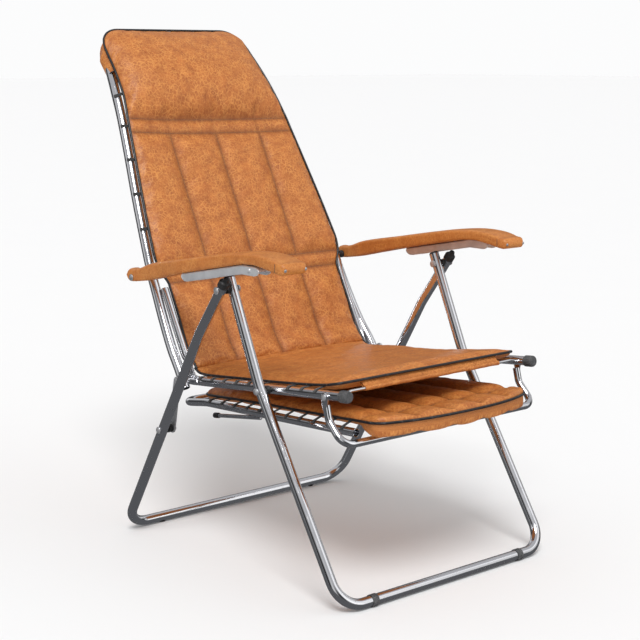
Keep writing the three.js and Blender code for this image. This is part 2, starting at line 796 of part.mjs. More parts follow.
function rack(side) {
  const outer = slab(rackOutline(0), side * (RACK_X - RACK_HALF_WIDTH), side * (RACK_X + RACK_HALF_WIDTH));
  const inner = slab(
    rackOutline(RACK_WALL),
    side * (RACK_X - RACK_HALF_WIDTH + RACK_WALL),
    side * (RACK_X + RACK_HALF_WIDTH - RACK_WALL));
  return cut(outer, inner);
}

addPair('armrest_rack', rack, satinAluminium);

// ---- footrest, stowed under the seat

const FOOTREST_SLOPE = -0.0588;
const FOOTREST_FRONT_Y = 30;
const FOOTREST_KNEE_Y = 480;
const FOOTREST_REAR = [570, 275];

function footrestRailZ(y) {
  const onBar = HANGER_BAR[1] + HANGER_RADIUS + FOOTREST_RADIUS + GAP;
  return onBar + FOOTREST_SLOPE * (y - HANGER_BAR[0]);
}

const FOOTREST_PROP_RADIUS = 4;
const FOOTREST_PROP_REAR = [452, 269];

function footrestFrame() {
  const half = (side) => [
    [at(side * FOOTREST_RAIL_X, [FOOTREST_FRONT_Y, footrestRailZ(FOOTREST_FRONT_Y)])],
    [at(side * FOOTREST_RAIL_X, [FOOTREST_KNEE_Y, footrestRailZ(FOOTREST_KNEE_Y)]), 200],
    [at(side * FOOTREST_RAIL_X, FOOTREST_REAR), 42],
  ];
  const loop = tube(bentRun([...half(-1), ...half(1).reverse()]), FOOTREST_RADIUS);
  const props = SIDES.map(([, side]) => {
    const root = at(side * FOOTREST_RAIL_X, [305, footrestRailZ(305) - FOOTREST_RADIUS - 1]);
    return rod([root, at(side * FOOTREST_RAIL_X, FOOTREST_PROP_REAR)], FOOTREST_PROP_RADIUS, 8);
  });
  return joined(loop, ...props);
}

function propCap(side) {
  const inner = FOOTREST_PROP_RADIUS + GAP;
  const profile = [
    [inner, -12],
    [inner + 1.2, -12],
    [inner + 1.2, 2],
    [0, 3],
    [0, GAP],
    [inner, GAP],
    [inner, -12],
  ];
  const root = at(0, [305, footrestRailZ(305) - FOOTREST_RADIUS - 1]);
  const axis = at(0, FOOTREST_PROP_REAR).sub(root);
  return turned(profile, at(side * FOOTREST_RAIL_X, FOOTREST_PROP_REAR), axis, 12);
}

function footrestPad() {
  const sheet = slab(sheetOutline([
    [-49, 338],
    [20, 333],
    [72, 329],
    [200, 320],
    [321, 312],
    [512, 296],
  ], 12, 5, 9), -195, 195);
  const outline = mirroredOutline([
    [0, -49],
    [70, -46],
    [130, -35],
    [170, -17],
    [188, 0],
    [194, 22],
    [194, 512],
  ]);
  return common(sheet, planPrism(outline, 250, 380));
}

add('footrest_frame', footrestFrame(), chrome);
addPair('footrest_prop_cap', propCap, blackPlastic);
add('footrest_pad', footrestPad(), vinyl);

const part = new THREE.Group();
part.add(chair);

export default part;
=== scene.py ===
import json
import math

import bmesh
import bpy
import numpy as np
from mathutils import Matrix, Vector
from mathutils.bvhtree import BVHTree


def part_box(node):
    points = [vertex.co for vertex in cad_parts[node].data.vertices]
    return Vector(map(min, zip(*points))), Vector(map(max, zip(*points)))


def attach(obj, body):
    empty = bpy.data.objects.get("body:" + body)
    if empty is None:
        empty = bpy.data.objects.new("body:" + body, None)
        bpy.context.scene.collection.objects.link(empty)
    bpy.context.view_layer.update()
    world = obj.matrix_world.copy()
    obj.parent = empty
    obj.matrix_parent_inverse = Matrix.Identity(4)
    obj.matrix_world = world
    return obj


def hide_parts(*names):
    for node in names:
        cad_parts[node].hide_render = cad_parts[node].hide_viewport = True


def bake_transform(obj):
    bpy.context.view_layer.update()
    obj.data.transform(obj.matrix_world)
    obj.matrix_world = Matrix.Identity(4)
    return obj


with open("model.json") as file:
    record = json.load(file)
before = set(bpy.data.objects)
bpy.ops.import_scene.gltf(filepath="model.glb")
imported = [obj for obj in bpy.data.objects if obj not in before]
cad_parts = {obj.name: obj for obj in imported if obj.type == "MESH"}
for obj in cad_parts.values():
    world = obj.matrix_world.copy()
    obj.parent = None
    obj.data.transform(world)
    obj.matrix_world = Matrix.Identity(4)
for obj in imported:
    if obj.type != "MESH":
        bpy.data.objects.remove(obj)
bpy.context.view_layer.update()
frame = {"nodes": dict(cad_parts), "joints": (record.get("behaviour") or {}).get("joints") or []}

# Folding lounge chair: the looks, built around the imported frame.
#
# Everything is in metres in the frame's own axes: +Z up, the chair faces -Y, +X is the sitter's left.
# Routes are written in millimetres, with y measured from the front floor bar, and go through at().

MM = 0.001
SIDES = (("right", -1), ("left", 1))
PIVOT = {joint["name"]: Vector(joint["pos_m"]) for joint in frame["joints"] if "pos_m" in joint}
FLOOR_BAR = PIVOT["front_leg_tilt"]
X_AXIS = np.array((1.0, 0.0, 0.0))


def at(x, y, z):
    """A point in the row frame, from millimetres measured from the front floor bar and the floor."""
    return np.array((x * MM, FLOOR_BAR.y + y * MM, z * MM))


def side_of(pivot):
    """The (y, z) of a joint's pivot in the millimetres that at() reads."""
    place = PIVOT[pivot]
    return np.array(((place.y - FLOOR_BAR.y) / MM, place.z / MM))


APEX = side_of("rear_leg_fold")
SEAT_PIVOT = side_of("fold")
BACK_PIVOT = side_of("back_fold")
ARM_PIVOT = side_of("arm_fold")
LINK_PIVOT = side_of("link_swing")
FRONT_FOOT = side_of("front_leg_tilt")


def unit(vector):
    return vector / np.linalg.norm(vector)


def run_along(points):
    """The distance along a path at each of its points."""
    return np.concatenate([[0.0], np.cumsum(np.linalg.norm(np.diff(points, axis=0), axis=1))])


def beyond(start, end, distance):
    """The side-view point a distance beyond the second of two."""
    start, end = np.array(start, float), np.array(end, float)
    return end + unit(end - start) * distance


# ---------------------------------------------------------------- materials


def add_node(tree, kind, inputs=None, **settings):
    """A shader node with its settings, and its inputs set to values or linked to sockets."""
    node = tree.nodes.new(kind)
    for key, value in settings.items():
        setattr(node, key, value)
    for key, value in (inputs or {}).items():
        if isinstance(value, bpy.types.NodeSocket):
            tree.links.new(value, node.inputs[key])
        else:
            node.inputs[key].default_value = value
    return node


def new_material(name, roughness, metallic=0.0, **sockets):
    material = bpy.data.materials.new(name)
    material.use_nodes = True
    tree = material.node_tree
    shader = tree.nodes["Principled BSDF"]
    shader.inputs["Roughness"].default_value = roughness
    shader.inputs["Metallic"].default_value = metallic
    for key, value in sockets.items():
        shader.inputs[key.replace("_", " ")].default_value = value
    return material, tree, shader


def place_of(tree, stretch=(1, 1, 1), attribute=None):
    """Coordinates in metres: the piece's own, or a stored attribute that stays on the cloth."""
    if attribute:
        source = add_node(tree, "ShaderNodeAttribute", attribute_name=attribute).outputs["Vector"]
    else:
        source = add_node(tree, "ShaderNodeTexCoord").outputs["Object"]
    return add_node(tree, "ShaderNodeMapping", {"Vector": source, "Scale": stretch}).outputs["Vector"]


def noise(tree, place, scale, detail=3.0, **more):
    inputs = {"Vector": place, "Scale": scale, "Detail": detail, **more}
    return add_node(tree, "ShaderNodeTexNoise", inputs).outputs["Fac"]


def ramp(tree, factor, *stops):
    """A colour ramp. A stop is (position, colour), and a colour may be one grey number."""
    node = add_node(tree, "ShaderNodeValToRGB", {"Fac": factor})
    elements = node.color_ramp.elements
    while len(elements) < len(stops):
        elements.new(0.5)
    for element, (position, colour) in zip(elements, stops):
        element.position = position
        grey = (colour, colour, colour) if isinstance(colour, (int, float)) else colour
        element.color = (*grey, 1.0)
    return node.outputs["Color"]


def mixed(tree, factor, first, second, blend="MIX"):
    node = add_node(tree, "ShaderNodeMix", data_type="RGBA", blend_type=blend)
    for socket, value in ((node.inputs[0], factor), (node.inputs[6], first), (node.inputs[7], second)):
        if isinstance(value, bpy.types.NodeSocket):
            tree.links.new(value, socket)
        elif isinstance(value, tuple):
            socket.default_value = (*value, 1.0)
        else:
            socket.default_value = value
    return node.outputs[2]


def bumped(tree, shader, *layers):
    """Stacks bump layers of (height, strength, distance in metres) onto the shader."""
    normal = None
    for height, strength, distance in layers:
        inputs = {"Height": height, "Strength": strength, "Distance": distance}
        if normal:
            inputs["Normal"] = normal
        normal = add_node(tree, "ShaderNodeBump", inputs).outputs["Normal"]
    tree.links.new(normal, shader.inputs["Normal"])


def spread(tree, factor, low, high):
    """A 0 to 1 value spread between two numbers."""
    inputs = {"Value": factor, "To Min": low, "To Max": high}
    return add_node(tree, "ShaderNodeMapRange", inputs).outputs["Result"]


def finish(material, tree, shader, colour, roughness, *layers):
    """Wires a material's colour, roughness and bump layers. Roughness may be None, to leave it even."""
    tree.links.new(colour, shader.inputs["Base Color"])
    if roughness:
        tree.links.new(roughness, shader.inputs["Roughness"])
    bumped(tree, shader, *layers)
    return material


def chrome_material():
    material, tree, shader = new_material("chrome", 0.08, 1.0)
    place = place_of(tree)
    haze = noise(tree, place, 9.0, 5.0)
    specks = ramp(tree, noise(tree, place, 260.0, 4.0), (0.66, 0.0), (0.74, 1.0))
    plated = mixed(tree, haze, (0.83, 0.83, 0.85), (0.70, 0.71, 0.74))
    colour = mixed(tree, specks, plated, (0.42, 0.40, 0.37))
    smudge = ramp(tree, noise(tree, place, 34.0, 6.0), (0.35, 0.07), (0.75, 0.19))
    worn = mixed(tree, specks, smudge, (0.4, 0.4, 0.4))
    return finish(material, tree, shader, colour, worn, (noise(tree, place, 9.0, 1.0), 0.012, 0.002))


def satin_material():
    material, tree, shader = new_material("satin_channel", 0.4, 0.55)
    grain = noise(tree, place_of(tree, (1.0, 0.03, 1.0)), 900.0, 4.0)
    tarnish = noise(tree, place_of(tree), 40.0, 5.0)
    dulled = ramp(tree, tarnish, (0.4, 0.0), (0.8, 1.0))
    colour = mixed(tree, dulled, (0.74, 0.75, 0.77), (0.56, 0.57, 0.59))
    return finish(material, tree, shader, colour, spread(tree, grain, 0.26, 0.5), (grain, 0.25, 0.0002))


def zinc_material():
    material, tree, shader = new_material("zinc_plate", 0.4, 0.7)
    place = place_of(tree)
    mottle = noise(tree, place, 160.0, 6.0)
    colour = ramp(tree, mottle, (0.3, (0.36, 0.36, 0.37)), (0.7, (0.66, 0.67, 0.69)))
    return finish(material, tree, shader, colour, spread(tree, mottle, 0.22, 0.48),
                  (noise(tree, place, 700.0, 3.0), 0.15, 0.0002))


def plastic_material(name, dark, light, roughness, speckle):
    """A moulded plastic, with a fine spark texture and dust in its hollows."""
    material, tree, shader = new_material(name, roughness)
    place = place_of(tree)
    dust = noise(tree, place, 55.0, 5.0)
    speck = ramp(tree, noise(tree, place, 1400.0, 2.0), (0.56, 0.0), (0.66, speckle))
    base = mixed(tree, ramp(tree, dust, (0.4, 0.0), (0.75, 1.0)), dark, light)
    bright = tuple(min(1.0, 3.5 * c + 0.03) for c in light)
    return finish(material, tree, shader, mixed(tree, speck, base, bright),
                  spread(tree, dust, roughness - 0.08, roughness + 0.12),
                  (noise(tree, place, 1100.0, 2.0), 0.25, 0.0002))


def vinyl_material(name, tint, attribute=None, roughness=0.46):
    """Embossed tan vinyl: crinkled lighter veins over a mottled ground, with a fine pebbled grain."""
    material, tree, shader = new_material(name, roughness, Specular_IOR_Level=0.4)
    place = place_of(tree, attribute=attribute)
    warp = add_node(tree, "ShaderNodeTexNoise", {"Vector": place, "Scale": 26.0, "Detail": 3.0})
    swirl = add_node(tree, "ShaderNodeVectorMath", {0: warp.outputs["Color"], 1: (0.011, 0.011, 0.011)},
                     operation="MULTIPLY").outputs["Vector"]
    bent = add_node(tree, "ShaderNodeVectorMath", {0: place, 1: swirl}, operation="ADD").outputs["Vector"]

    def creases(scale, width):
        cells = add_node(tree, "ShaderNodeTexVoronoi", {"Vector": bent, "Scale": scale},
                         feature="DISTANCE_TO_EDGE").outputs["Distance"]
        return ramp(tree, cells, (0.0, 1.0), (width, 0.0))

    broad = creases(120.0, 0.15)
    fine = creases(230.0, 0.18)
    blotch = noise(tree, place, 9.0, 4.0)
    clouds = noise(tree, place, 46.0, 5.0)
    streak = noise(tree, place, 240.0, 4.0, Distortion=1.5)
    patch = ramp(tree, noise(tree, place, 34.0, 4.0), (0.36, 0.25), (0.6, 1.0))
    deep, ground, vein = tint
    ground_mix = mixed(tree, ramp(tree, clouds, (0.32, 0.0), (0.68, 1.0)), deep, ground)
    darker = tuple(c * 0.8 for c in ground)
    warm = mixed(tree, ramp(tree, blotch, (0.42, 0.0), (0.62, 0.4)), ground_mix, darker)
    streaked = mixed(tree, ramp(tree, streak, (0.5, 0.0), (0.72, 0.5)), warm, vein)
    veins = mixed(tree, patch, (0.0, 0.0, 0.0), mixed(tree, 0.35, broad, fine))
    veined = mixed(tree, spread(tree, veins, 0.0, 0.7), streaked, vein)
    # painted shade: the colour darkens towards a dark brown in the seams and channels, by the stored seam
    # mask
    seam = add_node(tree, "ShaderNodeAttribute", attribute_name="pad_painted_shade").outputs["Fac"]
    seam_painted_shade = mixed(tree, spread(tree, seam, 0.0, 0.72), veined, tuple(c * 0.45 for c in deep))
    grain = noise(tree, place, 900.0, 2.0)
    return finish(material, tree, shader, seam_painted_shade, spread(tree, clouds, roughness - 0.09, roughness + 0.1),
                  (broad, 0.28, 0.0004), (fine, 0.22, 0.0003), (clouds, 0.25, 0.0012), (grain, 0.3, 0.0002))


def piping_material():
    material, tree, shader = new_material("piping", 0.42, Specular_IOR_Level=0.5)
    place = place_of(tree)
    wear = ramp(tree, noise(tree, place, 120.0, 5.0), (0.55, 0.0), (0.75, 1.0))
    colour = mixed(tree, wear, (0.011, 0.011, 0.013), (0.055, 0.053, 0.052))
    return finish(material, tree, shader, colour, spread(tree, wear, 0.34, 0.6),
                  (noise(tree, place, 800.0, 3.0), 0.3, 0.0002))


def webbing_material():
    """Dark elastic webbing, ribbed along its length."""
    material, tree, shader = new_material("webbing", 0.75, Sheen_Weight=0.25)
    place = place_of(tree)
    ribs = add_node(tree, "ShaderNodeTexWave", {"Vector": place, "Scale": 420.0, "Distortion": 1.2},
                    bands_direction="Y").outputs["Fac"]
    shade = mixed(tree, ribs, (0.012, 0.012, 0.013), (0.045, 0.044, 0.043))
    fluff = ramp(tree, noise(tree, place, 300.0, 4.0), (0.6, 0.0), (0.85, 0.6))
    colour = mixed(tree, fluff, shade, (0.10, 0.095, 0.09))
    return finish(material, tree, shader, colour, None, (ribs, 0.5, 0.0004))


def thread_material():
    material, tree, shader = new_material("thread", 0.6, Sheen_Weight=0.3)
    twist = add_node(tree, "ShaderNodeTexWave", {"Vector": place_of(tree), "Scale": 1500.0},
                     bands_direction="DIAGONAL").outputs["Fac"]
    colour = mixed(tree, twist, (0.10, 0.042, 0.014), (0.22, 0.10, 0.04))
    return finish(material, tree, shader, colour, None, (twist, 0.4, 0.0002))


TAN = ((0.31, 0.080, 0.016), (0.48, 0.148, 0.031), (0.77, 0.335, 0.086))
ARM_TAN = ((0.40, 0.115, 0.022), (0.52, 0.170, 0.034), (0.70, 0.31, 0.08))
CHROME = chrome_material()
SATIN = satin_material()
ZINC = zinc_material()
BLACK = plastic_material("black_plastic", (0.010, 0.010, 0.011), (0.024, 0.023, 0.023), 0.42, 0.25)
GREY = plastic_material("grey_plastic", (0.030, 0.031, 0.033), (0.075, 0.075, 0.077), 0.55, 0.8)
VINYL = vinyl_material("vinyl", TAN, "pad_place")
POCKET_VINYL = vinyl_material("pocket_vinyl", TAN)
ARM_VINYL = vinyl_material("arm_vinyl", ARM_TAN, roughness=0.40)
PIPING = piping_material()
WEBBING = webbing_material()
THREAD = thread_material()

# ---------------------------------------------------------------- mesh building


def make(name, vertices, faces, material, sharp=35):
    """A closed mesh object with outward faces and smooth shading up to an angle."""
    mesh = bpy.data.meshes.new(name)
    mesh.from_pydata([tuple(v) for v in vertices], [], faces)
    work = bmesh.new()
    work.from_mesh(mesh)
    bmesh.ops.remove_doubles(work, verts=work.verts, dist=1e-6)
    bmesh.ops.recalc_face_normals(work, faces=work.faces)
    work.to_mesh(mesh)
    work.free()
    mesh.polygons.foreach_set("use_smooth", [True] * len(mesh.polygons))
    mesh.set_sharp_from_angle(angle=math.radians(sharp))
    mesh.materials.append(material)
    piece = bpy.data.objects.new(name, mesh)
    bpy.context.scene.collection.objects.link(piece)
    return piece


def settle(piece, body, slot, *replaced):
    """Puts a finished piece on its body, and hides the CAD nodes that it stands for. slot is not used."""
    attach(piece, body)
    if replaced:
        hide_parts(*replaced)
    return piece


def skin(rings, ends="caps"):
    """Vertices and faces over a row of rings. The ends are closed by caps, joined in a loop, or open."""
    rings = np.asarray(rings, float)
    count, sides = rings.shape[:2]
    faces = []
    for i in range(count if ends == "loop" else count - 1):
        a, b = i * sides, (i + 1) % count * sides
        for j in range(sides):
            k = (j + 1) % sides
            faces.append((a + j, a + k, b + k, b + j))
    if ends == "caps":
        faces.append(tuple(range(sides)))
        faces.append(tuple(range((count - 1) * sides, count * sides)))
    return rings.reshape(-1, 3), faces


def join_skins(parts):
    """One set of vertices and faces from several."""
    vertices, faces = [], []
    for part_vertices, part_faces in parts:
        base = len(vertices)
        vertices.extend(part_vertices)
        faces.extend(tuple(base + i for i in face) for face in part_faces)
    return vertices, faces


def crossing(direction):
    """A direction square to another, found from the X axis or, if that is too close, from Z."""
    return np.cross(direction, X_AXIS if abs(direction[0]) < 0.9 else np.array((0.0, 0.0, 1.0)))


def frames_along(points):
    """The tangent, side and up directions of a path, turned as little as possible between points."""
    points = np.asarray(points, float)
    ahead = np.diff(points, axis=0)
    ahead /= np.linalg.norm(ahead, axis=1)[:, None]
    tangents = np.vstack([ahead[:1], ahead[:-1] + ahead[1:], ahead[-1:]])
    tangents /= np.linalg.norm(tangents, axis=1)[:, None]
    side = crossing(tangents[0])
    sides = []
    for tangent in tangents:
        side = unit(side - tangent * side.dot(tangent))
        sides.append(side)
    sides = np.array(sides)
    return tangents, sides, np.cross(tangents, sides)


def ring_at(centre, side, up, radius, count):
    angles = np.arange(count) * 2 * math.pi / count
    return centre + radius * (np.cos(angles)[:, None] * side + np.sin(angles)[:, None] * up)


END_ROUND = 0.0004
TUBE_WALL = 0.0014
MOUTH_DEPTH = 0.03


def tube_skin(points, radius, count=32, hollow=True):
    """A round tube along a path, with rounded rims and, if hollow, open mouths at its ends."""
    points = np.asarray(points, float)
    tangents, sides, ups = frames_along(points)
    if hollow:
        mouth = [(MOUTH_DEPTH, radius - TUBE_WALL), (END_ROUND, radius - TUBE_WALL)]
    else:
        mouth = [(0.0, radius * 0.45)]
    mouth += [(0.0, radius - TUBE_WALL / 2), (END_ROUND, radius)]
    rings = [ring_at(points[0] + tangents[0] * d, sides[0], ups[0], r, count) for d, r in mouth]
    rings += [ring_at(p, s, u, radius, count) for p, s, u in zip(points[1:-1], sides[1:-1], ups[1:-1])]
    rings += [ring_at(points[-1] - tangents[-1] * d, sides[-1], ups[-1], r, count) for d, r in mouth[::-1]]
    return skin(rings)


def bent_run(corners, step=math.radians(5)):
    """Stations along straight runs joined by round bends. A corner is (point, bend radius in mm)."""
    stations = []
    for i, (point, bend) in enumerate(corners):
        point = np.asarray(point, float)
        if not bend:
            stations.append(point)
            continue
        back = unit(np.asarray(corners[i - 1][0]) - point)
        ahead = unit(np.asarray(corners[i + 1][0]) - point)
        turn = math.pi - math.acos(np.clip(back.dot(ahead), -1, 1))
        middle = unit(back + ahead)
        centre = point + middle * bend * MM / math.cos(turn / 2)
        start = point + back * bend * MM * math.tan(turn / 2) - centre
        end = point + ahead * bend * MM * math.tan(turn / 2) - centre
        steps = max(3, math.ceil(turn / step))
        for k in range(steps + 1):
            share = k / steps
            a, b = math.sin((1 - share) * turn), math.sin(share * turn)
            stations.append(centre + (start * a + end * b) / math.sin(turn))
    return stations


def both_sides(half):
    """A frame's corners from the (x, y, z, bend) of its +x half: down one side and up the other."""
    first = [(at(-x, y, z), bend) for x, y, z, bend in half]
    return first + [(at(x, y, z), bend) for x, y, z, bend in reversed(half)]


def smooth_path(points, per_span=8):
    """A centripetal Catmull-Rom curve through points, sampled evenly in each span."""
    points = [np.asarray(p, float) for p in points]
    padded = [2 * points[0] - points[1], *points, 2 * points[-1] - points[-2]]
    stations = []
    for i in range(1, len(padded) - 2):
        p0, p1, p2, p3 = padded[i - 1:i + 3]
        t0 = 0.0
        t1 = t0 + math.sqrt(np.linalg.norm(p1 - p0))
        t2 = t1 + math.sqrt(np.linalg.norm(p2 - p1))
        t3 = t2 + math.sqrt(np.linalg.norm(p3 - p2))
        for k in range(per_span):
            t = t1 + (t2 - t1) * k / per_span
            a1 = (t1 - t) / (t1 - t0) * p0 + (t - t0) / (t1 - t0) * p1
            a2 = (t2 - t) / (t2 - t1) * p1 + (t - t1) / (t2 - t1) * p2
            a3 = (t3 - t) / (t3 - t2) * p2 + (t - t2) / (t3 - t2) * p3
            b1 = (t2 - t) / (t2 - t0) * a1 + (t - t0) / (t2 - t0) * a2
            b2 = (t3 - t) / (t3 - t1) * a2 + (t - t1) / (t3 - t1) * a3
            stations.append((t2 - t) / (t2 - t1) * b1 + (t - t1) / (t2 - t1) * b2)
    stations.append(points[-1])
    return np.array(stations)


def lathe_skin(profile, origin, direction, count=40):
    """A profile of (radius, height) in millimetres turned about a line from origin."""
    origin = np.asarray(origin, float)
    axis = unit(np.asarray(direction, float))
    side = unit(crossing(axis))
    up = np.cross(axis, side)
    closed = profile[0] == profile[-1]
    kept = profile[:-1] if closed else profile
    rings = [ring_at(origin + axis * h * MM, side, up, max(r, 0.02) * MM, count) for r, h in kept]
    return skin(rings, "loop" if closed else "caps")


def soften(profile, radius=0.5):
    """Rounds each inner corner of a turned profile with two short chamfers."""
    points = [np.array(p, float) for p in profile]
    closed = profile[0] == profile[-1]
    if closed:
        points = points[:-1]
    result = []
    for i, point in enumerate(points):
        if not closed and i in (0, len(points) - 1):
            result.append(tuple(point))
            continue
        before, after = points[i - 1] - point, points[(i + 1) % len(points)] - point
        reach = min(radius, 0.45 * np.linalg.norm(before), 0.45 * np.linalg.norm(after))
        a, b = point + unit(before) * reach, point + unit(after) * reach
        result += [tuple(a), tuple(0.25 * a + 0.5 * point + 0.25 * b), tuple(b)]
    return result + [result[0]] if closed else result


# ---------------------------------------------------------------- chrome frames

LEG_RADIUS = 10 * MM
SEAT_RAIL_RADIUS = 9 * MM
STAY_RADIUS = 8 * MM
FOOTREST_RADIUS = 8 * MM
HANGER_RADIUS = 7 * MM
FRONT_LEG_X = 265
REAR_LEG_X = 292
SEAT_RAIL_X = 237.5
STAY_X = 232
STAY_TONGUE_X = 228.5
HANGER_X = 245.5
FOOTREST_RAIL_X = 205
FLOOR_BEND = 50

LEG_KINK = SEAT_PIVOT + (3.5, 5.5)
FRONT_LEG_TOP = beyond(LEG_KINK, APEX, 21.5)
REAR_LEG_BEND = (380.7, 453)
REAR_LEG_TOP = beyond(REAR_LEG_BEND, APEX, 20)
REAR_FOOT_Y = 651
SEAT_RAIL_FRONT = np.array((17, 388.5))
SEAT_RAIL_REAR = np.array((452, 342.7))


def leg_frames():
    front = [(FRONT_LEG_X, *FRONT_LEG_TOP, 0), (FRONT_LEG_X, *LEG_KINK, 160),
             (FRONT_LEG_X, *FRONT_FOOT, FLOOR_BEND)]
    rear = [(REAR_LEG_X, *REAR_LEG_TOP, 0), (REAR_LEG_X, *REAR_LEG_BEND, 120),
            (REAR_LEG_X, REAR_FOOT_Y, FRONT_FOOT[1], FLOOR_BEND)]
    for name, half, body in (("front_leg", front, "front_frame"), ("rear_leg", rear, "rear_frame")):
        skin_of = tube_skin(bent_run(both_sides(half)), LEG_RADIUS)
        settle(make(f"{name}_tube", *skin_of, CHROME), body, "chrome", f"{name}_frame")


def flatten_end(vertices, start, end, radius, x, lane_x, half_thickness):
    """Squashes a tube, between two side-view points, into a flat tongue that shifts to its own lane."""
    start, end = at(0, *start), at(0, *end)
    along = end - start
    result = []
    for vertex in vertices:
        run = np.clip((vertex - start).dot(along) / along.dot(along), 0, 1)
        share = run * run * (3 - 2 * run)
        squash = 1 + (half_thickness / radius - 1) * share
        wide = 1 + 0.12 * share
        middle = start + along * ((vertex - start).dot(along) / along.dot(along))
        off = vertex - middle
        shifted = x + (lane_x - x) * share + (vertex[0] - x) * squash
        result.append(middle + (shifted, off[1] * wide, off[2] * wide))
    return result


def seat_rails():
    flat = beyond(BACK_PIVOT, SEAT_RAIL_REAR, -26)
    tip = beyond(SEAT_RAIL_REAR, BACK_PIVOT, 11)
    run = [SEAT_RAIL_FRONT, beyond(SEAT_RAIL_FRONT, SEAT_RAIL_REAR, -30)]
    run += [SEAT_RAIL_REAR + (flat - SEAT_RAIL_REAR) * k / 6 for k in range(7)]
    run += [beyond(SEAT_RAIL_REAR, BACK_PIVOT, -4), beyond(SEAT_RAIL_REAR, BACK_PIVOT, 4), tip]
    for label, side in SIDES:
        x = side * SEAT_RAIL_X
        vertices, faces = tube_skin([at(x, *p) for p in run], SEAT_RAIL_RADIUS, hollow=False)
        vertices = flatten_end(vertices, SEAT_RAIL_REAR, flat, SEAT_RAIL_RADIUS, x * MM, x * MM, 3 * MM)
        rail = make(f"seat_rail_tube_{label}", vertices, faces, CHROME)
        settle(rail, "seat", "chrome", f"seat_rail_{label}")


FRONT_ROD = np.array((45, 390))
ROD_RADIUS = 3 * MM


def front_rod():
    half = [(SEAT_RAIL_X - 1.5, 45, 386.4, 0), (SEAT_RAIL_X - 15, 45, 386.4, 12), (205, *FRONT_ROD, 12)]
    rod = make("seat_front_rod_bar", *tube_skin(bent_run(both_sides(half)), ROD_RADIUS, 20, False), CHROME)
    settle(rod, "seat", "chrome", "seat_front_rod")


HANGER_RIVET = np.array((65, 381))
HANGER_TOP = (64, 367)
HANGER_BAR = (18, 302)
EAR_INNER = 246.8
EAR_THICKNESS = 4


def plate_skin(outline, x0, x1, edge=0.5):
    """A flat plate of a side-view outline between two x, with rounded edges."""
    outline = np.asarray(outline, float)
    centre = outline.mean(0)
    low, high = min(x0, x1), max(x0, x1)

    def ring(x, inset):
        reach = np.linalg.norm(outline - centre, axis=1)[:, None]
        return [at(x, *p) for p in centre + (outline - centre) * (1 - inset / reach)]

    return skin([ring(low, edge), ring(low + edge * 0.3, edge * 0.3), ring(low + edge, 0),
                 ring(high - edge, 0), ring(high - edge * 0.3, edge * 0.3), ring(high, edge)])


def arc(centre, radius, start, end, count):
    """Side-view points on an arc, from one angle to another in degrees."""
    angles = np.radians(np.linspace(start, end, count))
    return [(centre[0] + radius * math.cos(a), centre[1] + radius * math.sin(a)) for a in angles]


def hanger():
    half = [(HANGER_X, *HANGER_TOP, 0), (HANGER_X, 57, 340, 25), (HANGER_X, *HANGER_BAR, 24)]
    parts = [tube_skin(bent_run(both_sides(half)), HANGER_RADIUS, hollow=False)]
    outline = arc(HANGER_RIVET, 9, 0, 180, 19) + [(58.5, 362), (60, 356), (66, 356), (69, 362)]
    for _, side in SIDES:
        parts.append(plate_skin(outline, side * EAR_INNER, side * (EAR_INNER + EAR_THICKNESS)))
    settle(make("footrest_hanger_tube", *join_skins(parts), CHROME), "seat", "chrome", "footrest_hanger")


BACK_TOP = (889, 1001)
BACK_ROUTE = (
    (255, 483, 325), (253, 506, 360), (250.5, 534, 396), (247, 568, 452), (244.2, 596, 505),
    (243.3, 611, 536), (238, 642, 600), (228, 687, 690), (217, 731, 780), (208, 768, 850),
    (198, 806, 904), (184, 848, 953), (170, 874, 983), (148, 886, 997))


def back_path():
    crown = [at(x, *BACK_TOP) for x in (-118, 0, 118)]
    sides = [at(-x, y, z) for x, y, z in BACK_ROUTE]
    return smooth_path(sides + crown + [at(x, y, z) for x, y, z in reversed(BACK_ROUTE)])


BACK_PATH = back_path()


def back_frame():
    settle(make("back_tube", *tube_skin(BACK_PATH, LEG_RADIUS), CHROME), "back", "chrome", "back_frame")
    bend, top = (550, 447), (584, 511)
    root, flat = beyond(bend, BACK_PIVOT, -52), beyond(bend, BACK_PIVOT, -24)
    for label, side in SIDES:
        x = side * STAY_X
        run = [(at(x, *beyond(bend, BACK_PIVOT, 9)), 0), (at(x, *beyond(bend, BACK_PIVOT, -10)), 0)]
        run += [(at(x, *(flat + (root - flat) * k / 6)), 0) for k in range(7)]
        run += [(at(x, *bend), 150), (at(x, *top), 0)]
        vertices, faces = tube_skin(bent_run(run), STAY_RADIUS, 28, False)
        lane = side * STAY_TONGUE_X
        vertices = flatten_end(vertices, root, flat, STAY_RADIUS, x * MM, lane * MM, 2.5 * MM)
        stay = make(f"back_stay_tube_{label}", vertices, faces, CHROME)
        settle(stay, "back_hinge", "chrome", f"back_stay_{label}")


FOOTREST_SLOPE = -0.0588
FOOTREST_FRONT_Y = 30
PROP_REAR = (452, 269)


def footrest_rail_z(y):
    on_bar = HANGER_BAR[1] + (HANGER_RADIUS + FOOTREST_RADIUS) / MM + 0.3
    return on_bar + FOOTREST_SLOPE * (y - HANGER_BAR[0])


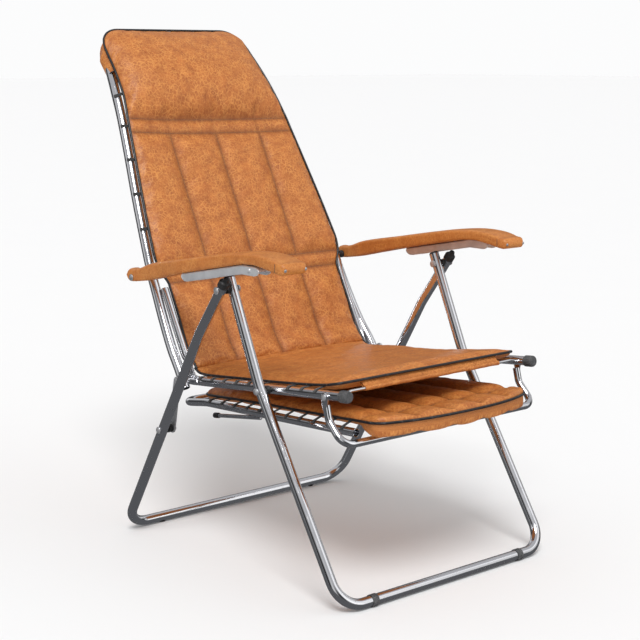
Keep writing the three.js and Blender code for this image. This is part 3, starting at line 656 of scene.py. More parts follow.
def footrest_frame():
    half = [(FOOTREST_RAIL_X, FOOTREST_FRONT_Y, footrest_rail_z(FOOTREST_FRONT_Y), 0),
            (FOOTREST_RAIL_X, 480, footrest_rail_z(480), 200), (FOOTREST_RAIL_X, 570, 275, 42)]
    parts = [tube_skin(bent_run(both_sides(half)), FOOTREST_RADIUS)]
    root = np.array((305, footrest_rail_z(305) - FOOTREST_RADIUS / MM - 1))
    caps = {}
    for label, side in SIDES:
        x = side * FOOTREST_RAIL_X
        parts.append(tube_skin([at(x, *root), at(x, *(root + np.array(PROP_REAR)) / 2), at(x, *PROP_REAR)],
                               4 * MM, 20, False))
        profile = soften([(4.3, -12), (5.5, -12), (5.5, 2), (0, 3), (0, 0.3), (4.3, 0.3), (4.3, -12)])
        caps[label] = lathe_skin(profile, at(x, *PROP_REAR), at(0, *PROP_REAR) - at(0, *root), 28)
    settle(make("footrest_tube", *join_skins(parts), CHROME), "footrest", "chrome", "footrest_frame")
    for label, cap in caps.items():
        cap_piece = make(f"footrest_prop_tip_{label}", *cap, BLACK)
        settle(cap_piece, "footrest", "black_plastic", f"footrest_prop_cap_{label}")


# ---------------------------------------------------------------- turned hardware and plates

HEAD_HEIGHT = 3.6
SHANK = 4.0


def turned_piece(node, profile, origin, direction, material, body, slot, count=40):
    piece = make(f"{node}_fine", *lathe_skin(profile, origin, direction, count), material, sharp=30)
    return settle(piece, body, slot, node)


def extent(node, side):
    """Where a piece across the chair starts and ends, in millimetres outwards, and its radius."""
    low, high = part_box(node)
    inner, outer = sorted((side * low.x / MM, side * high.x / MM))
    return inner, outer, (high.z - low.z) / 2 / MM


def dome_profile(radius, base, height, step):
    """Profile points over a dome, from its rim nearly to its top, one every few degrees."""
    return [(radius * math.cos(a), base + height * math.sin(a)) for a in np.radians(np.arange(0, 90, step))]


def bolt_profile(inner, outer, radius):
    """A flat rounded head inside, a shank, and a domed head with a turned rim outside."""
    dome = dome_profile(radius, outer - HEAD_HEIGHT + 0.9, HEAD_HEIGHT - 0.9, 12)
    return [(0, inner), (radius - 0.9, inner), (radius - 0.25, inner + 0.3), (radius, inner + 0.9),
            (radius, inner + HEAD_HEIGHT), (SHANK, inner + HEAD_HEIGHT), (SHANK, outer - HEAD_HEIGHT),
            (radius - 0.2, outer - HEAD_HEIGHT), (radius, outer - HEAD_HEIGHT + 0.2), *dome, (0, outer)]


def bolts_and_spacers():
    bolts = (("apex_bolt", APEX, "front_frame"), ("seat_pivot_bolt", SEAT_PIVOT, "front_frame"),
             ("link_rivet", LINK_PIVOT, "rear_frame"), ("back_hinge_bolt", BACK_PIVOT, "back_hinge"),
             ("armrest_rivet", ARM_PIVOT, "back"))
    spacers = (("apex_spacer", APEX, "front_frame"), ("seat_pivot_spacer", SEAT_PIVOT, "front_frame"),
               ("link_spacer", LINK_PIVOT, "rear_frame"), ("armrest_spacer", ARM_PIVOT, "back"))
    for label, side in SIDES:
        outwards = X_AXIS * side
        for name, place, body in bolts:
            node = f"{name}_{label}"
            profile = bolt_profile(*extent(node, side))
            turned_piece(node, profile, at(0, *place), outwards, ZINC, body, "zinc_plate")
        for name, place, body in spacers:
            node = f"{name}_{label}"
            inner, outer, radius = extent(node, side)
            waist, bore = radius - 0.7, SHANK + 0.4
            third = (outer - inner) / 3
            profile = [(bore, outer), (bore, inner), (radius, inner), (radius, inner + third),
                       (waist, inner + third * 1.3), (waist, outer - third * 1.3),
                       (radius, outer - third), (radius, outer), (bore, outer)]
            profile = soften(profile, 0.35)
            turned_piece(node, profile, at(0, *place), outwards, BLACK, body, "black_plastic")
        rivets(label, side, outwards)


def rivets(label, side, outwards):
    """The hanger's rivets and the short rivets in the links' upper holes."""
    for name, place, body, shank in (("hanger_rivet", HANGER_RIVET, "seat", 3),
                                     ("link_end_rivet", BACK_PIVOT, "links", SHANK)):
        node = f"{name}_{label}"
        inner, outer, radius = extent(node, side)
        head = 2.6
        dome = dome_profile(radius, outer - head + 0.4, head - 0.4, 15)
        profile = [(0, inner), (shank, inner), (shank, outer - head), (radius, outer - head), *dome,
                   (0, outer)]
        turned_piece(node, profile, at(0, *place), outwards, ZINC, body, "zinc_plate", 32)


def end_pieces():
    """Foot rings, leg plugs, leg caps and rail caps."""
    for label, side in SIDES:
        node = f"front_foot_ring_{label}"
        inner, outer, radius = extent(node, side)
        bore = LEG_RADIUS / MM + 0.4
        groove = (inner + outer) / 2
        low = radius - 0.4
        profile = [(bore, outer), (bore, inner), (low, inner), (radius, inner + 0.8), (radius, groove - 1),
                   (low, groove - 0.5), (low, groove + 0.5), (radius, groove + 1), (radius, outer - 0.8),
                   (low, outer), (bore, outer)]
        turned_piece(node, profile, at(0, *FRONT_FOOT), X_AXIS * side, GREY, "feet", "grey_plastic", 48)

        stem = (LEG_RADIUS - TUBE_WALL) / MM - 0.8
        dome = dome_profile(LEG_RADIUS / MM, 0.5, 4.3, 9)
        plug = [(0, -14), (stem, -14), (stem, 0.3), (9.8, 0.3), *dome, (0, 4.8)]
        turned_piece(f"front_leg_plug_{label}", plug, at(side * FRONT_LEG_X, *FRONT_LEG_TOP),
                     at(0, *FRONT_LEG_TOP) - at(0, *APEX), BLACK, "front_frame", "black_plastic")

        cap = [(10.3, -10), (11.0, -10), (11.0, -0.5), (10.6, 0.9), (9.4, 2.2), (7.6, 3.4), (6.6, 5.0),
               (6.0, 7.8), (5.3, 9.9), (4.1, 11.4), (2.2, 12.3), (0, 12.5), (0, -1.2), (10.3, -1.2),
               (10.3, -10)]
        turned_piece(f"rear_leg_cap_{label}", cap, at(side * REAR_LEG_X, *REAR_LEG_TOP),
                     at(0, *REAR_LEG_TOP) - at(0, *APEX), BLACK, "rear_frame", "black_plastic")
        rail_cap(label, side)


def rail_cap(label, side):
    """A rail's plastic cup, with fine ribs round its wall."""
    inner = SEAT_RAIL_RADIUS / MM + 0.6
    rib = ((1.0, 0.0), (1.5, 0.6), (1.5, 1.5), (1.0, 2.1))
    ribs = [(inner + out, -14.5 + 2.6 * k + up) for k in range(6) for out, up in rib]
    face = ((1.2, 2.4), (0.4, 3.7), (-1.6, 4.4), (-2.2, 4.0), (-3, 4.0), (-3.6, 4.5))
    profile = [(inner, -15), (inner + 1, -15), *ribs, *((inner + out, up) for out, up in face),
               (0, 4.6), (0, 0.3), (inner, 0.3), (inner, -15)]
    turned_piece(f"seat_rail_cap_{label}", profile, at(side * SEAT_RAIL_X, *SEAT_RAIL_FRONT),
                 at(0, *SEAT_RAIL_FRONT) - at(0, *SEAT_RAIL_REAR), GREY, "seat", "grey_plastic", 48)


LINK_HALF = 10


def link_bars():
    along = LINK_PIVOT - BACK_PIVOT
    heading = math.degrees(math.atan2(along[1], along[0]))
    lower = arc(LINK_PIVOT, LINK_HALF, heading - 90, heading + 90, 17)
    upper = arc(BACK_PIVOT, LINK_HALF, heading + 90, heading + 270, 17)
    for label, side in SIDES:
        inner, outer, _ = extent(f"link_bar_{label}", side)
        bar = make(f"link_plate_{label}", *plate_skin(lower + upper, side * inner, side * outer), ZINC)
        settle(bar, "links", "zinc_plate", f"link_bar_{label}")


# ---------------------------------------------------------------- pads


class SideCurve:
    """A smooth side-view line through points, measured along its length in millimetres."""

    OVERRUN = 12.0

    def __init__(self, points):
        fine = smooth_path([np.array((0.0, *p)) for p in points], 24)[:, 1:]
        run = run_along(fine)
        self.length = run[-1]
        before = beyond(fine[1], fine[0], self.OVERRUN)
        after = beyond(fine[-2], fine[-1], self.OVERRUN)
        self.fine = np.vstack([before, fine, after])
        self.run = np.concatenate([[-self.OVERRUN], run, [self.length + self.OVERRUN]])

    def point(self, s):
        return np.stack([np.interp(s, self.run, self.fine[:, k]) for k in (0, 1)], axis=-1)

    def normal(self, s):
        """The sitter's side of the line."""
        ahead = self.point(np.asarray(s) + 4.0) - self.point(np.asarray(s) - 4.0)
        ahead /= np.linalg.norm(ahead, axis=-1, keepdims=True)
        return np.stack([-ahead[..., 1], ahead[..., 0]], axis=-1)

    def at_height(self, z):
        return float(np.interp(z, self.fine[:, 1], self.run))

    def at_depth(self, y):
        return float(np.interp(y, self.fine[:, 0], self.run))


def marks(stops, spacing, edge):
    """Grid lines through every stop, about one spacing apart, and finer ones near the two ends."""
    lines = list(stops)
    for low, high in zip(stops[:-1], stops[1:]):
        lines += list(np.linspace(low, high, max(1, round((high - low) / spacing)) + 1)[1:-1])
    low, high = stops[0], stops[-1]
    clear = edge[-1] + 2
    lines = [line for line in lines if line in stops or clear < line - low and clear < high - line]
    lines += [low + d for d in edge[1:]] + [high - d for d in edge[1:]]
    return np.array(sorted(lines))


class Pad:
    """A padded sling: two sheets sewn together at the rim, along cross seams and along channels.

    curve is its side view and half_width(s) its half width, both in mm. rim, top and under are the
    heights of the rim and of the two sheets off the curve. start_shift(x) and end_shift(x) round the
    ends. A cross seam is (s, depth) and a channel (share of the half width, from, to, depth).
    """

    EDGE = (0.0, 1.5, 3.5, 7.0, 11.5)
    SPACING = 8.0

    def __init__(self, name, curve, half_width, rim, top, under, seams=(), channels=(), start_shift=None,
                 end_shift=None, lean=None, straight=None, roll=15.0, under_roll=14.0, groove=11.0):
        self.name, self.curve, self.half_width = name, curve, half_width
        self.rim, self.top, self.under = rim, top, under
        self.seams, self.channels = seams, channels
        self.start_shift = start_shift or (lambda x: 0.0 * x)
        self.end_shift = end_shift or (lambda x: 0.0 * x)
        self.lean = lean or (lambda u, s: 0.0 * s)
        self.straight = straight
        self.roll, self.under_roll, self.groove = roll, under_roll, groove
        widest = max(half_width(s) for s in np.linspace(0, curve.length, 40))
        shares = sorted({-1.0, 1.0, *(c[0] for c in channels)})
        self.columns = marks([share * widest for share in shares], self.SPACING, self.EDGE) / widest
        self.rows = marks([0.0, *sorted(s for s, _ in seams), curve.length], self.SPACING, self.EDGE)

    FADE = 95.0

    def across(self, u, s):
        """The x at a share u of the width. straight is (share, x) of a channel that doesn't taper."""
        half = self.half_width(s)
        if not self.straight:
            return u * half
        share, x = self.straight
        outside = np.clip((np.abs(u) - share) / (1 - share), 0, None)
        return np.sign(u) * (np.minimum(np.abs(u) / share, 1) * x + outside * (half - x))

    def place(self, u, s, height):
        """The point at a share u of the width, s along and a height off the curve."""
        return self.place_at(self.across(u, s), u, s, height)

    def place_at(self, x, u, s, height):
        fade_in = np.clip(1 - s / self.FADE, 0, 1)
        fade_out = np.clip(1 - (self.curve.length - s) / self.FADE, 0, 1)
        shifted = s + self.start_shift(x) * fade_in - self.end_shift(x) * fade_out + self.lean(u, s)
        line = self.curve.point(shifted) + self.curve.normal(shifted) * np.asarray(height)[..., None]
        return np.stack([x * MM, FLOOR_BAR.y + line[..., 0] * MM, line[..., 1] * MM], axis=-1)

    def closeness(self, u, s):
        """How much each sheet is drawn down to the rim level: 1 free, 0 at a seam or the rim."""
        x = self.across(u, s)
        edge = np.minimum(np.minimum(self.half_width(s) - np.abs(x), s), self.curve.length - s)

        def rolled(reach):
            return np.sqrt(np.clip(1 - (1 - np.clip(edge / reach, 0, 1)) ** 2, 0, 1))

        free = np.ones_like(edge)
        for seam, depth in self.seams:
            free = free * (1 - depth * np.exp(-np.abs((s - seam) / self.groove) ** 1.3))
        for share, low, high, depth in self.channels:
            beside = np.exp(-np.abs((x - self.across(share, s)) / self.groove) ** 1.3)
            inside = np.clip((s - low) / 14 + 1, 0, 1) * np.clip((high - s) / 14 + 1, 0, 1)
            free = free * (1 - depth * beside * inside)
        return rolled(self.roll) * free, rolled(self.under_roll) * (0.35 + 0.65 * free)

    def painted_seam_shade(self, u, s):
        """How dark the painted shade lies in the seams: 1 in a deep one, 0 on the free cloth."""
        x = self.across(u, s)
        shade = np.zeros_like(s)
        for seam, depth in self.seams:
            shade = np.maximum(shade, depth * np.exp(-(np.abs(s - seam) / 5.0) ** 1.2))
        for share, low, high, depth in self.channels:
            inside = np.clip((s - low) / 12 + 1, 0, 1) * np.clip((high - s) / 12 + 1, 0, 1)
            beside = np.exp(-(np.abs(x - self.across(share, s)) / 5.5) ** 1.2)
            shade = np.maximum(shade, depth * inside * beside)
        return shade

    def heights(self, u, s):
        upper, lower = self.closeness(u, s)
        rim = self.rim(s)
        return rim + (self.top(u, s) - rim) * upper, rim - (rim - self.under(u, s)) * lower

    def build(self, material):
        """The closed grid mesh, with its place on the cloth stored for the vinyl's pattern."""
        u, s = np.meshgrid(self.columns, self.rows)
        upper, lower = self.heights(u, s)
        rows, columns = u.shape
        front, back = self.place(u, s, upper), self.place(u, s, lower)
        index = np.arange(rows * columns).reshape(rows, columns)
        inside = np.zeros((rows, columns), bool)
        inside[1:-1, 1:-1] = True
        back_index = index.copy()
        back_index[inside] = rows * columns + np.arange(inside.sum())
        vertices = np.vstack([front.reshape(-1, 3), back[inside]])
        faces = []
        for i in range(rows - 1):
            for j in range(columns - 1):
                cell = ((i, j), (i, j + 1), (i + 1, j + 1), (i + 1, j))
                faces.append(tuple(int(index[c]) for c in cell))
                faces.append(tuple(int(back_index[c]) for c in reversed(cell)))
        mesh = bpy.data.meshes.new(self.name)
        mesh.from_pydata([tuple(v) for v in vertices], [], faces)
        mesh.polygons.foreach_set("use_smooth", [True] * len(mesh.polygons))
        mesh.materials.append(material)
        flat = np.stack([self.across(u, s) * MM, s * MM, np.zeros_like(s)], axis=-1)
        under = flat[inside] + (0.0, 0.0, 0.37)
        stored = mesh.attributes.new("pad_place", "FLOAT_VECTOR", "POINT")
        stored.data.foreach_set("vector", np.vstack([flat.reshape(-1, 3), under]).ravel())
        # painted shade: the seam mask that darkens the vinyl's colour, weaker on the back sheet
        shade = self.painted_seam_shade(u, s)
        stored = mesh.attributes.new("pad_painted_shade", "FLOAT", "POINT")
        stored.data.foreach_set("value", np.concatenate([shade.ravel(), 0.6 * shade[inside]]))
        self.object = bpy.data.objects.new(self.name, mesh)
        bpy.context.scene.collection.objects.link(self.object)
        self.pinned = self.sewn(u, s, index, back_index, inside)
        return self.object

    def sewn(self, u, s, index, back_index, inside):
        """The vertices that the rim, the deep seams and the channels hold in place."""
        held = ~inside
        for seam, depth in self.seams:
            if depth > 0.5:
                held |= np.abs(s - seam) < 1e-6
        for share, low, high, depth in self.channels:
            if depth > 0.5:
                held |= (np.abs(u - share) < 1e-9) & (s >= low) & (s <= high)
        return sorted({int(i) for i in index[held]} | {int(i) for i in back_index[held]})

    def rim_points(self, outset=2.0, lift=0.8):
        """The four sides of the rim, a little outside and in front of where the sheets meet."""
        u, s = np.meshgrid(self.columns, self.rows)
        wider = u * (1 + outset / self.half_width(s))
        longer = s + outset * (2 * s / self.curve.length - 1)
        rim = self.place(wider, longer, self.rim(s) + lift)
        return {"start": rim[0], "end": rim[-1], "low": rim[:, 0], "high": rim[:, -1]}


FRAMES = 20
PRESSURE = 4.0
SLACK = 0.012


def puff(piece, pinned, cap):
    """Blows a pad up inside its seams with a short cloth simulation, and keeps each move under a cap."""
    scene = bpy.context.scene
    group = piece.vertex_groups.new(name="sewn")
    group.add(pinned, 1.0, "REPLACE")
    start = coordinates(piece.data)
    modifier = piece.modifiers.new("puff", "CLOTH")
    cloth = modifier.settings
    cloth.quality = 6
    cloth.mass = 0.25
    cloth.tension_stiffness = cloth.compression_stiffness = 18.0
    cloth.shear_stiffness = 6.0
    cloth.bending_stiffness = 0.4
    cloth.use_pressure = True
    cloth.uniform_pressure_force = PRESSURE
    cloth.effector_weights.gravity = 0.0
    cloth.vertex_group_mass = "sewn"
    cloth.shrink_min = -SLACK
    modifier.collision_settings.use_collision = False
    modifier.point_cache.frame_start = 1
    modifier.point_cache.frame_end = FRAMES
    for number in range(1, FRAMES + 1):
        scene.frame_set(number)
    ready = piece.evaluated_get(bpy.context.evaluated_depsgraph_get())
    moved = coordinates(ready.data) - start
    piece.modifiers.remove(modifier)
    piece.vertex_groups.remove(group)
    scene.frame_set(1)
    reach = np.linalg.norm(moved, axis=1)[:, None]
    limit = cap * MM
    eased = moved * (limit * np.tanh(reach / limit) / np.maximum(reach, 1e-9))
    piece.data.vertices.foreach_set("co", (start + eased).ravel())
    piece.data.update()


def coordinates(mesh):
    values = np.empty(len(mesh.vertices) * 3)
    mesh.vertices.foreach_get("co", values)
    return values.reshape(-1, 3)


def subdivide(piece):
    """Applies one subdivision to a piece's mesh."""
    modifier = piece.modifiers.new("smooth", "SUBSURF")
    modifier.levels = modifier.render_levels = 1
    depsgraph = bpy.context.evaluated_depsgraph_get()
    ready = piece.evaluated_get(depsgraph)
    mesh = bpy.data.meshes.new_from_object(ready, preserve_all_data_layers=True, depsgraph=depsgraph)
    piece.modifiers.remove(modifier)
    old, piece.data = piece.data, mesh
    bpy.data.meshes.remove(old)
    mesh.name = piece.name
    return piece


def pucker(pad, strength=0.55):
    """Small gathers beside the seams, where the vinyl is pulled in by its stitches."""
    mesh = pad.object.data
    stored = np.empty(len(mesh.vertices) * 3, np.float32)
    mesh.attributes["pad_place"].data.foreach_get("vector", stored)
    across, along, _ = stored.reshape(-1, 3).astype(float).T / MM
    total = np.zeros_like(across)

    def gathers(run, distance, seed, reach=15.0):
        wave = np.sin(run / 2.9 + 2.2 * np.sin(run / 23.0 + seed)) + 0.6 * np.sin(run / 1.9 + seed * 3)
        return wave * np.exp(-np.abs(distance) / reach) * np.clip(np.abs(distance) / 3.0, 0, 1)

    for k, (seam, depth) in enumerate(pad.seams):
        total += depth * gathers(across, along - seam, 1.3 * k)
    for k, (share, low, high, depth) in enumerate(pad.channels):
        inside = np.clip((along - low) / 10, 0, 1) * np.clip((high - along) / 10, 0, 1)
        total += 0.45 * depth * inside * gathers(along, across - pad.across(share, along), 2.1 * k, 11.0)
    edge = pad.half_width(along) - np.abs(across)
    total += 0.6 * gathers(along, edge, 0.7, 10.0)
    normals = np.empty(len(mesh.vertices) * 3)
    mesh.vertices.foreach_get("normal", normals)
    rim = np.minimum(np.minimum(edge, along), pad.curve.length - along)
    total *= np.clip(rim / 6.0, 0, 1) * strength * MM
    points = coordinates(mesh) + normals.reshape(-1, 3) * total[:, None]
    mesh.vertices.foreach_set("co", points.ravel())
    mesh.update()


STITCH_PITCH = 4.6
STITCH_LENGTH = 3.2
STITCH_RADIUS = 0.42


def stitches(pad):
    """Rows of thread laid in the seams and channels, on the finished surface."""
    surface = BVHTree.FromObject(pad.object, bpy.context.evaluated_depsgraph_get())
    parts = []
    for line in seam_lines(pad):
        run = run_along(line)
        for start in np.arange(2.0, run[-1] / MM - STITCH_PITCH, STITCH_PITCH) * MM:
            ends = [np.array([np.interp(start + d * MM, run, line[:, k]) for k in range(3)])
                    for d in np.linspace(0, STITCH_LENGTH, 5)]
            laid = []
            for point, lift in zip(ends, (-0.15, 0.3, 0.42, 0.3, -0.15)):
                hit, normal, _, _ = surface.find_nearest(Vector(point))
                laid.append(np.array(hit + normal * lift * MM))
            parts.append(thread_skin(laid))
    return join_skins(parts)


def thread_skin(points):
    _, sides, ups = frames_along(points)
    return skin([ring_at(p, s, u, STITCH_RADIUS * MM * r, 6)
                 for p, s, u, r in zip(points, sides, ups, (0.5, 1.0, 1.0, 1.0, 0.5))])


def seam_lines(pad):
    """The front-sheet line of each seam and channel."""
    reach = np.linspace(-0.975, 0.975, 80)
    for seam, depth in pad.seams:
        if depth > 0.5:
            s = np.full_like(reach, seam)
            yield pad.place(reach, s, pad.heights(reach, s)[0])
    for share, low, high, depth in pad.channels:
        if depth > 0.5:
            s = np.linspace(low + 4, high - 4, max(3, int((high - low) / 8)))
            u = np.full_like(s, share)
            yield pad.place(u, s, pad.heights(u, s)[0])


PIPING_RADIUS = 2.5


def cord_skin(points, radius=PIPING_RADIUS, count=14):
    """A round cord along points, closed with small rounded ends."""
    points = thinned(points, 1.2)
    _, sides, ups = frames_along(points)
    swell = np.ones(len(points))
    swell[0] = swell[-1] = 0.6
    return skin([ring_at(p, s, u, radius * MM * r, count) for p, s, u, r in zip(points, sides, ups, swell)])


def thinned(points, least):
    """Points of a path that are at least a few millimetres apart."""
    kept = [np.asarray(points[0], float)]
    for point in points[1:]:
        if np.linalg.norm(point - kept[-1]) > least * MM:
            kept.append(np.asarray(point, float))
    return kept


def hook_skin(centre, along, anchor, outwards, radius, width=7.0, thickness=1.2):
    """A flat hook from a pad's edge over the top of a rail."""
    along = unit(along)
    right = unit(outwards - along * outwards.dot(along))
    up = np.cross(along, right)
    offset = anchor - centre
    if offset.dot(up) < 0:
        up = -up
    wrap = radius + (0.25 + thickness / 2) * MM
    far = math.hypot(offset.dot(up), offset.dot(right))
    start = math.atan2(offset.dot(up), offset.dot(right)) - math.acos(min(1, wrap / far))
    path = [anchor]
    for angle in np.linspace(start, math.radians(28), 15):
        path.append(centre + wrap * (math.cos(angle) * right + math.sin(angle) * up))
    return ribbon_skin(path, along, width, thickness)


BAND = ((-0.5, -0.15), (-0.47, -0.5), (0.47, -0.5), (0.5, -0.15),
        (0.5, 0.15), (0.47, 0.5), (-0.47, 0.5), (-0.5, 0.15))


def ribbon_skin(path, across, width, thickness):
    """A flat band along a path, with softly rounded edges. across is the band's width direction."""
    path = thinned(path, 0.3)
    tangents, _, _ = frames_along(path)
    rings = []
    for point, tangent in zip(path, tangents):
        wide = unit(across - tangent * across.dot(tangent))
        thick = np.cross(tangent, wide)
        rings.append([point + wide * a * width * MM + thick * b * thickness * MM for a, b in BAND])
    return skin(rings)


def corner_shift(half, radius):
    """How far a rounded end draws back at each x, for a corner radius at the half width."""
    def shift(x):
        beyond_corner = np.clip((np.abs(x) - (half - radius)) / radius, 0, 1)
        return radius * (1 - np.sqrt(np.clip(1 - beyond_corner ** 2, 0, 1)))
    return shift


# ---- the three pads

CREASE = (494, 357)
SEAT_LINE = SideCurve([(52, 401), (70, 397), (103, 390), (217, 375), (340, 362), (464, 349.5), (482, 351),
                       CREASE])
SEAT_HALF = 222
BACK_LINE = SideCurve([CREASE, (506, 371), (523, 392), (555, 457), (589, 523), (610, 572), (642, 635),
                       (692, 733), (748, 842), (776, 889), (820, 943), (850, 974), (893, 1022)])
BACK_WIDTHS = ((357, 221), (520, 221), (546, 236), (572, 239), (650, 231), (733, 220), (842, 206),
               (890, 197), (950, 190), (1022, 187))
FOOTREST_LINE = SideCurve([(-49, 338), (20, 333), (72, 329), (200, 320), (321, 312), (512, 296)])
FOOTREST_HALF = 192
CHANNEL_SHARE = 0.5


def back_half(s):
    heights, widths = zip(*BACK_WIDTHS)
    return np.interp(BACK_LINE.point(np.asarray(s, float))[..., 1], heights, widths)


def seat_pad_shape():
    fold = SEAT_LINE.length - 46
    return Pad(
        "seat_cushion", SEAT_LINE, lambda s: SEAT_HALF + 7.0 * np.clip(1 - s / 70, 0, 1) ** 2,
        rim=lambda s: 3.0 + 0.0 * s,
        top=lambda u, s: 9.5 + 3.5 * (1 - u * u) + 0.7 * np.sin(s / 31 + 2 * u) * np.cos(3 * u),
        under=lambda u, s: -4.0 - 2.5 * (1 - u * u),
        seams=((fold, 0.22), (SEAT_LINE.at_depth(300), 0.10)),
        start_shift=corner_shift(SEAT_HALF + 7, 22))


def back_pad_shape():
    tops = [BACK_LINE.at_height(z) for z in (518, 547, 815, 842)]
    low, high, band, head = tops
    end = BACK_LINE.length

    def top(u, s):
        pillow = np.clip((s - head) / (end - head), 0, 1)
        swell = np.clip(np.sin(math.pi * pillow ** 0.72), 0, 1) ** 0.7
        return 13.0 + 30.0 * swell * (1 - np.abs(u) ** 2.2)

    channels = []
    for share in (-CHANNEL_SHARE, 0.0, CHANNEL_SHARE):
        channels += [(share, 4.0, low, 0.85), (share, high, band, 0.85), (share, band, head, 0.4),
                     (share, head, head + 14, 0.4)]

    def lean(u, s):
        return -12.0 * (1 - ((1 - u) / 2) ** 3) * np.exp(-((s - (band + head) / 2) / 70) ** 2)

    return Pad(
        "back_cushion", BACK_LINE, back_half,
        rim=lambda s: 5.0 + 0.0 * s,
        top=top,
        under=lambda u, s: -1.5 - 1.5 * (1 - u * u),
        seams=((low, 0.9), (high, 0.9), (band, 0.92), (head, 0.92)),
        channels=channels,
        end_shift=corner_shift(187, 52),
        lean=lean,
        straight=(CHANNEL_SHARE, 118.0))


def footrest_pad_shape():
    def front(x):
        return 40 * (np.abs(x) / FOOTREST_HALF) ** 2.6 + corner_shift(FOOTREST_HALF, 16)(x)

    cross = FOOTREST_LINE.at_depth(26)
    shares = (-0.6, -0.2, 0.2, 0.6)
    end = FOOTREST_LINE.length
    return Pad(
        "footrest_cushion", FOOTREST_LINE, lambda s: FOOTREST_HALF + 0.0 * s,
        rim=lambda s: np.interp(s, (0, 60, 140), (2.5, 3.0, 3.0)),
        top=lambda u, s: 14.0 + 1.5 * (1 - u * u),
        under=lambda u, s: np.interp(s, (0, 40, 68, 90), (-23.0, -22.0, -17.0, -5.0)) + 0.0 * u,
        seams=((cross, 0.8),),
        channels=[(share, 16.0, end - 10, 0.85) for share in shares],
        start_shift=front,
        end_shift=corner_shift(FOOTREST_HALF, 24),
        under_roll=7.0)


def sew(pad, cap, strength=0.55):
    """Builds a pad: grid, cloth simulation, subdivision and gathers."""
    piece = pad.build(VINYL)
    puff(piece, pad.pinned, cap)
    subdivide(piece)
    pucker(pad, strength)
    return piece


SEAT_BEND = ("seat", "back_hinge", at(0, 462, 349.5), at(0, *CREASE))
BACK_BEND = ("back_hinge", "back", at(0, *CREASE), at(0, 524, 394))


def hang(piece, bend, slot, *replaced):
    """Bakes a soft piece's place into its mesh, and hides the CAD nodes that it stands for."""
    body_a, body_b, start, end = bend
    tuple(start)
    tuple(end)
    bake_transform(piece)
    if replaced:
        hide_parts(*replaced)
    return piece


PIVOT_GAP = 16
STRAP_SHARE = 0.985


def strap_anchor(pad, side, s):
    """Where a strap leaves the pad, just inside its rim."""
    return pad.place(np.array(side * STRAP_SHARE), np.array(s), np.array(1.0))


def seat_rail_z(y):
    (front_y, front_z), (rear_y, rear_z) = SEAT_RAIL_FRONT, SEAT_RAIL_REAR
    return np.interp(y, (front_y, rear_y), (front_z, rear_z))


def rail_straps(pad, body, depths, rail_x, rail_z, radius):
    """The straps that lace a pad to the straight rails beside it."""
    rail = at(0, 200, rail_z(200)) - at(0, 100, rail_z(100))
    parts = []
    for y in depths:
        for _, side in SIDES:
            edge = strap_anchor(pad, side, pad.curve.at_depth(y))
            parts.append(hook_skin(at(side * rail_x, y, rail_z(y)), rail, edge, X_AXIS * side, radius))
    settle(make(f"{body}_straps", *join_skins(parts), WEBBING), body, "black_plastic")


def seat_pad():
    pad = seat_pad_shape()
    piece = sew(pad, 5.0, 0.45)
    hang(piece, SEAT_BEND, "vinyl", "seat_pad")
    rim = pad.rim_points()
    loop = [*rim["low"][::-1], *rim["start"][1:-1], *rim["high"]]
    hang(make("seat_piping", *cord_skin(loop), PIPING), SEAT_BEND, "black_plastic")
    depths = [y for y in range(96, 450, 39) if abs(y - SEAT_PIVOT[0]) >= PIVOT_GAP]
    rail_straps(pad, "seat", depths, SEAT_RAIL_X, seat_rail_z, SEAT_RAIL_RADIUS)
    seat_hem(pad)


HEM_HALF = 172
HEM_WALL = 1.0


def seat_hem(pad):
    """The vinyl sleeve sewn under the seat's front edge, round the front rod."""
    edge = pad.place(np.array(0.0), np.array(0.0), np.array(1.5))
    rod = at(0, *FRONT_ROD)
    wrap = ROD_RADIUS + 0.9 * MM
    around = [rod + wrap * np.array((0, math.cos(angle), math.sin(angle)))
              for angle in np.radians(np.linspace(60, 330, 15))]
    section = np.array([edge + (0, 0.004, 0.0), *around, edge + (0, 0.007, -0.0022)])
    tangents, _, _ = frames_along(section)
    half_wall = np.cross(tangents, X_AXIS) * HEM_WALL / 2 * MM
    share = np.linspace(0, 1, len(section))
    loose = 2.0 * share * (1 - share) * MM
    rings = []
    for x in np.linspace(-HEM_HALF, HEM_HALF, 60):
        ripple = 0.5 * math.sin(x / 13) + 0.35 * math.sin(x / 5.3 + 1)
        centre = section + np.outer(loose * ripple, (0, -0.6, -0.8)) + X_AXIS * x * MM
        rings.append(np.vstack([centre + half_wall, (centre - half_wall)[::-1]]))
    piece = make("seat_hem_sleeve", *skin(rings), POCKET_VINYL)
    settle(piece, "seat", "vinyl")
    length = float(run_along(section)[-1])


def back_pad():
    pad = back_pad_shape()
    piece = sew(pad, 6.0)
    hang(piece, BACK_BEND, "vinyl", "back_pad")
    rim = pad.rim_points()
    loop = [*rim["low"], *rim["end"][1:-1], *rim["high"][::-1]]
    hang(make("back_piping", *cord_skin(loop), PIPING), BACK_BEND, "black_plastic")
    hang(make("back_stitching", *stitches(pad), THREAD), BACK_BEND, "vinyl")
    back_clips(pad)
    head_pocket(pad)


def back_clips(pad):
    """Short straps that hold the back pad's edges to the frame."""
    parts = []
    tangents, _, _ = frames_along(BACK_PATH)
    for z in range(560, 930, 67):
        s = BACK_LINE.at_height(z)
        for _, side in SIDES:
            on_side = [i for i, p in enumerate(BACK_PATH) if p[0] * side > 0]
            edge = strap_anchor(pad, side, s)
            near = min(on_side, key=lambda i: np.linalg.norm(BACK_PATH[i] - edge))
            parts.append(hook_skin(BACK_PATH[near], tangents[near], edge, X_AXIS * side, LEG_RADIUS))
    settle(make("back_straps", *join_skins(parts), WEBBING), "back", "black_plastic")


POCKET_WALL = 1.1
POCKET_COLUMNS = 81


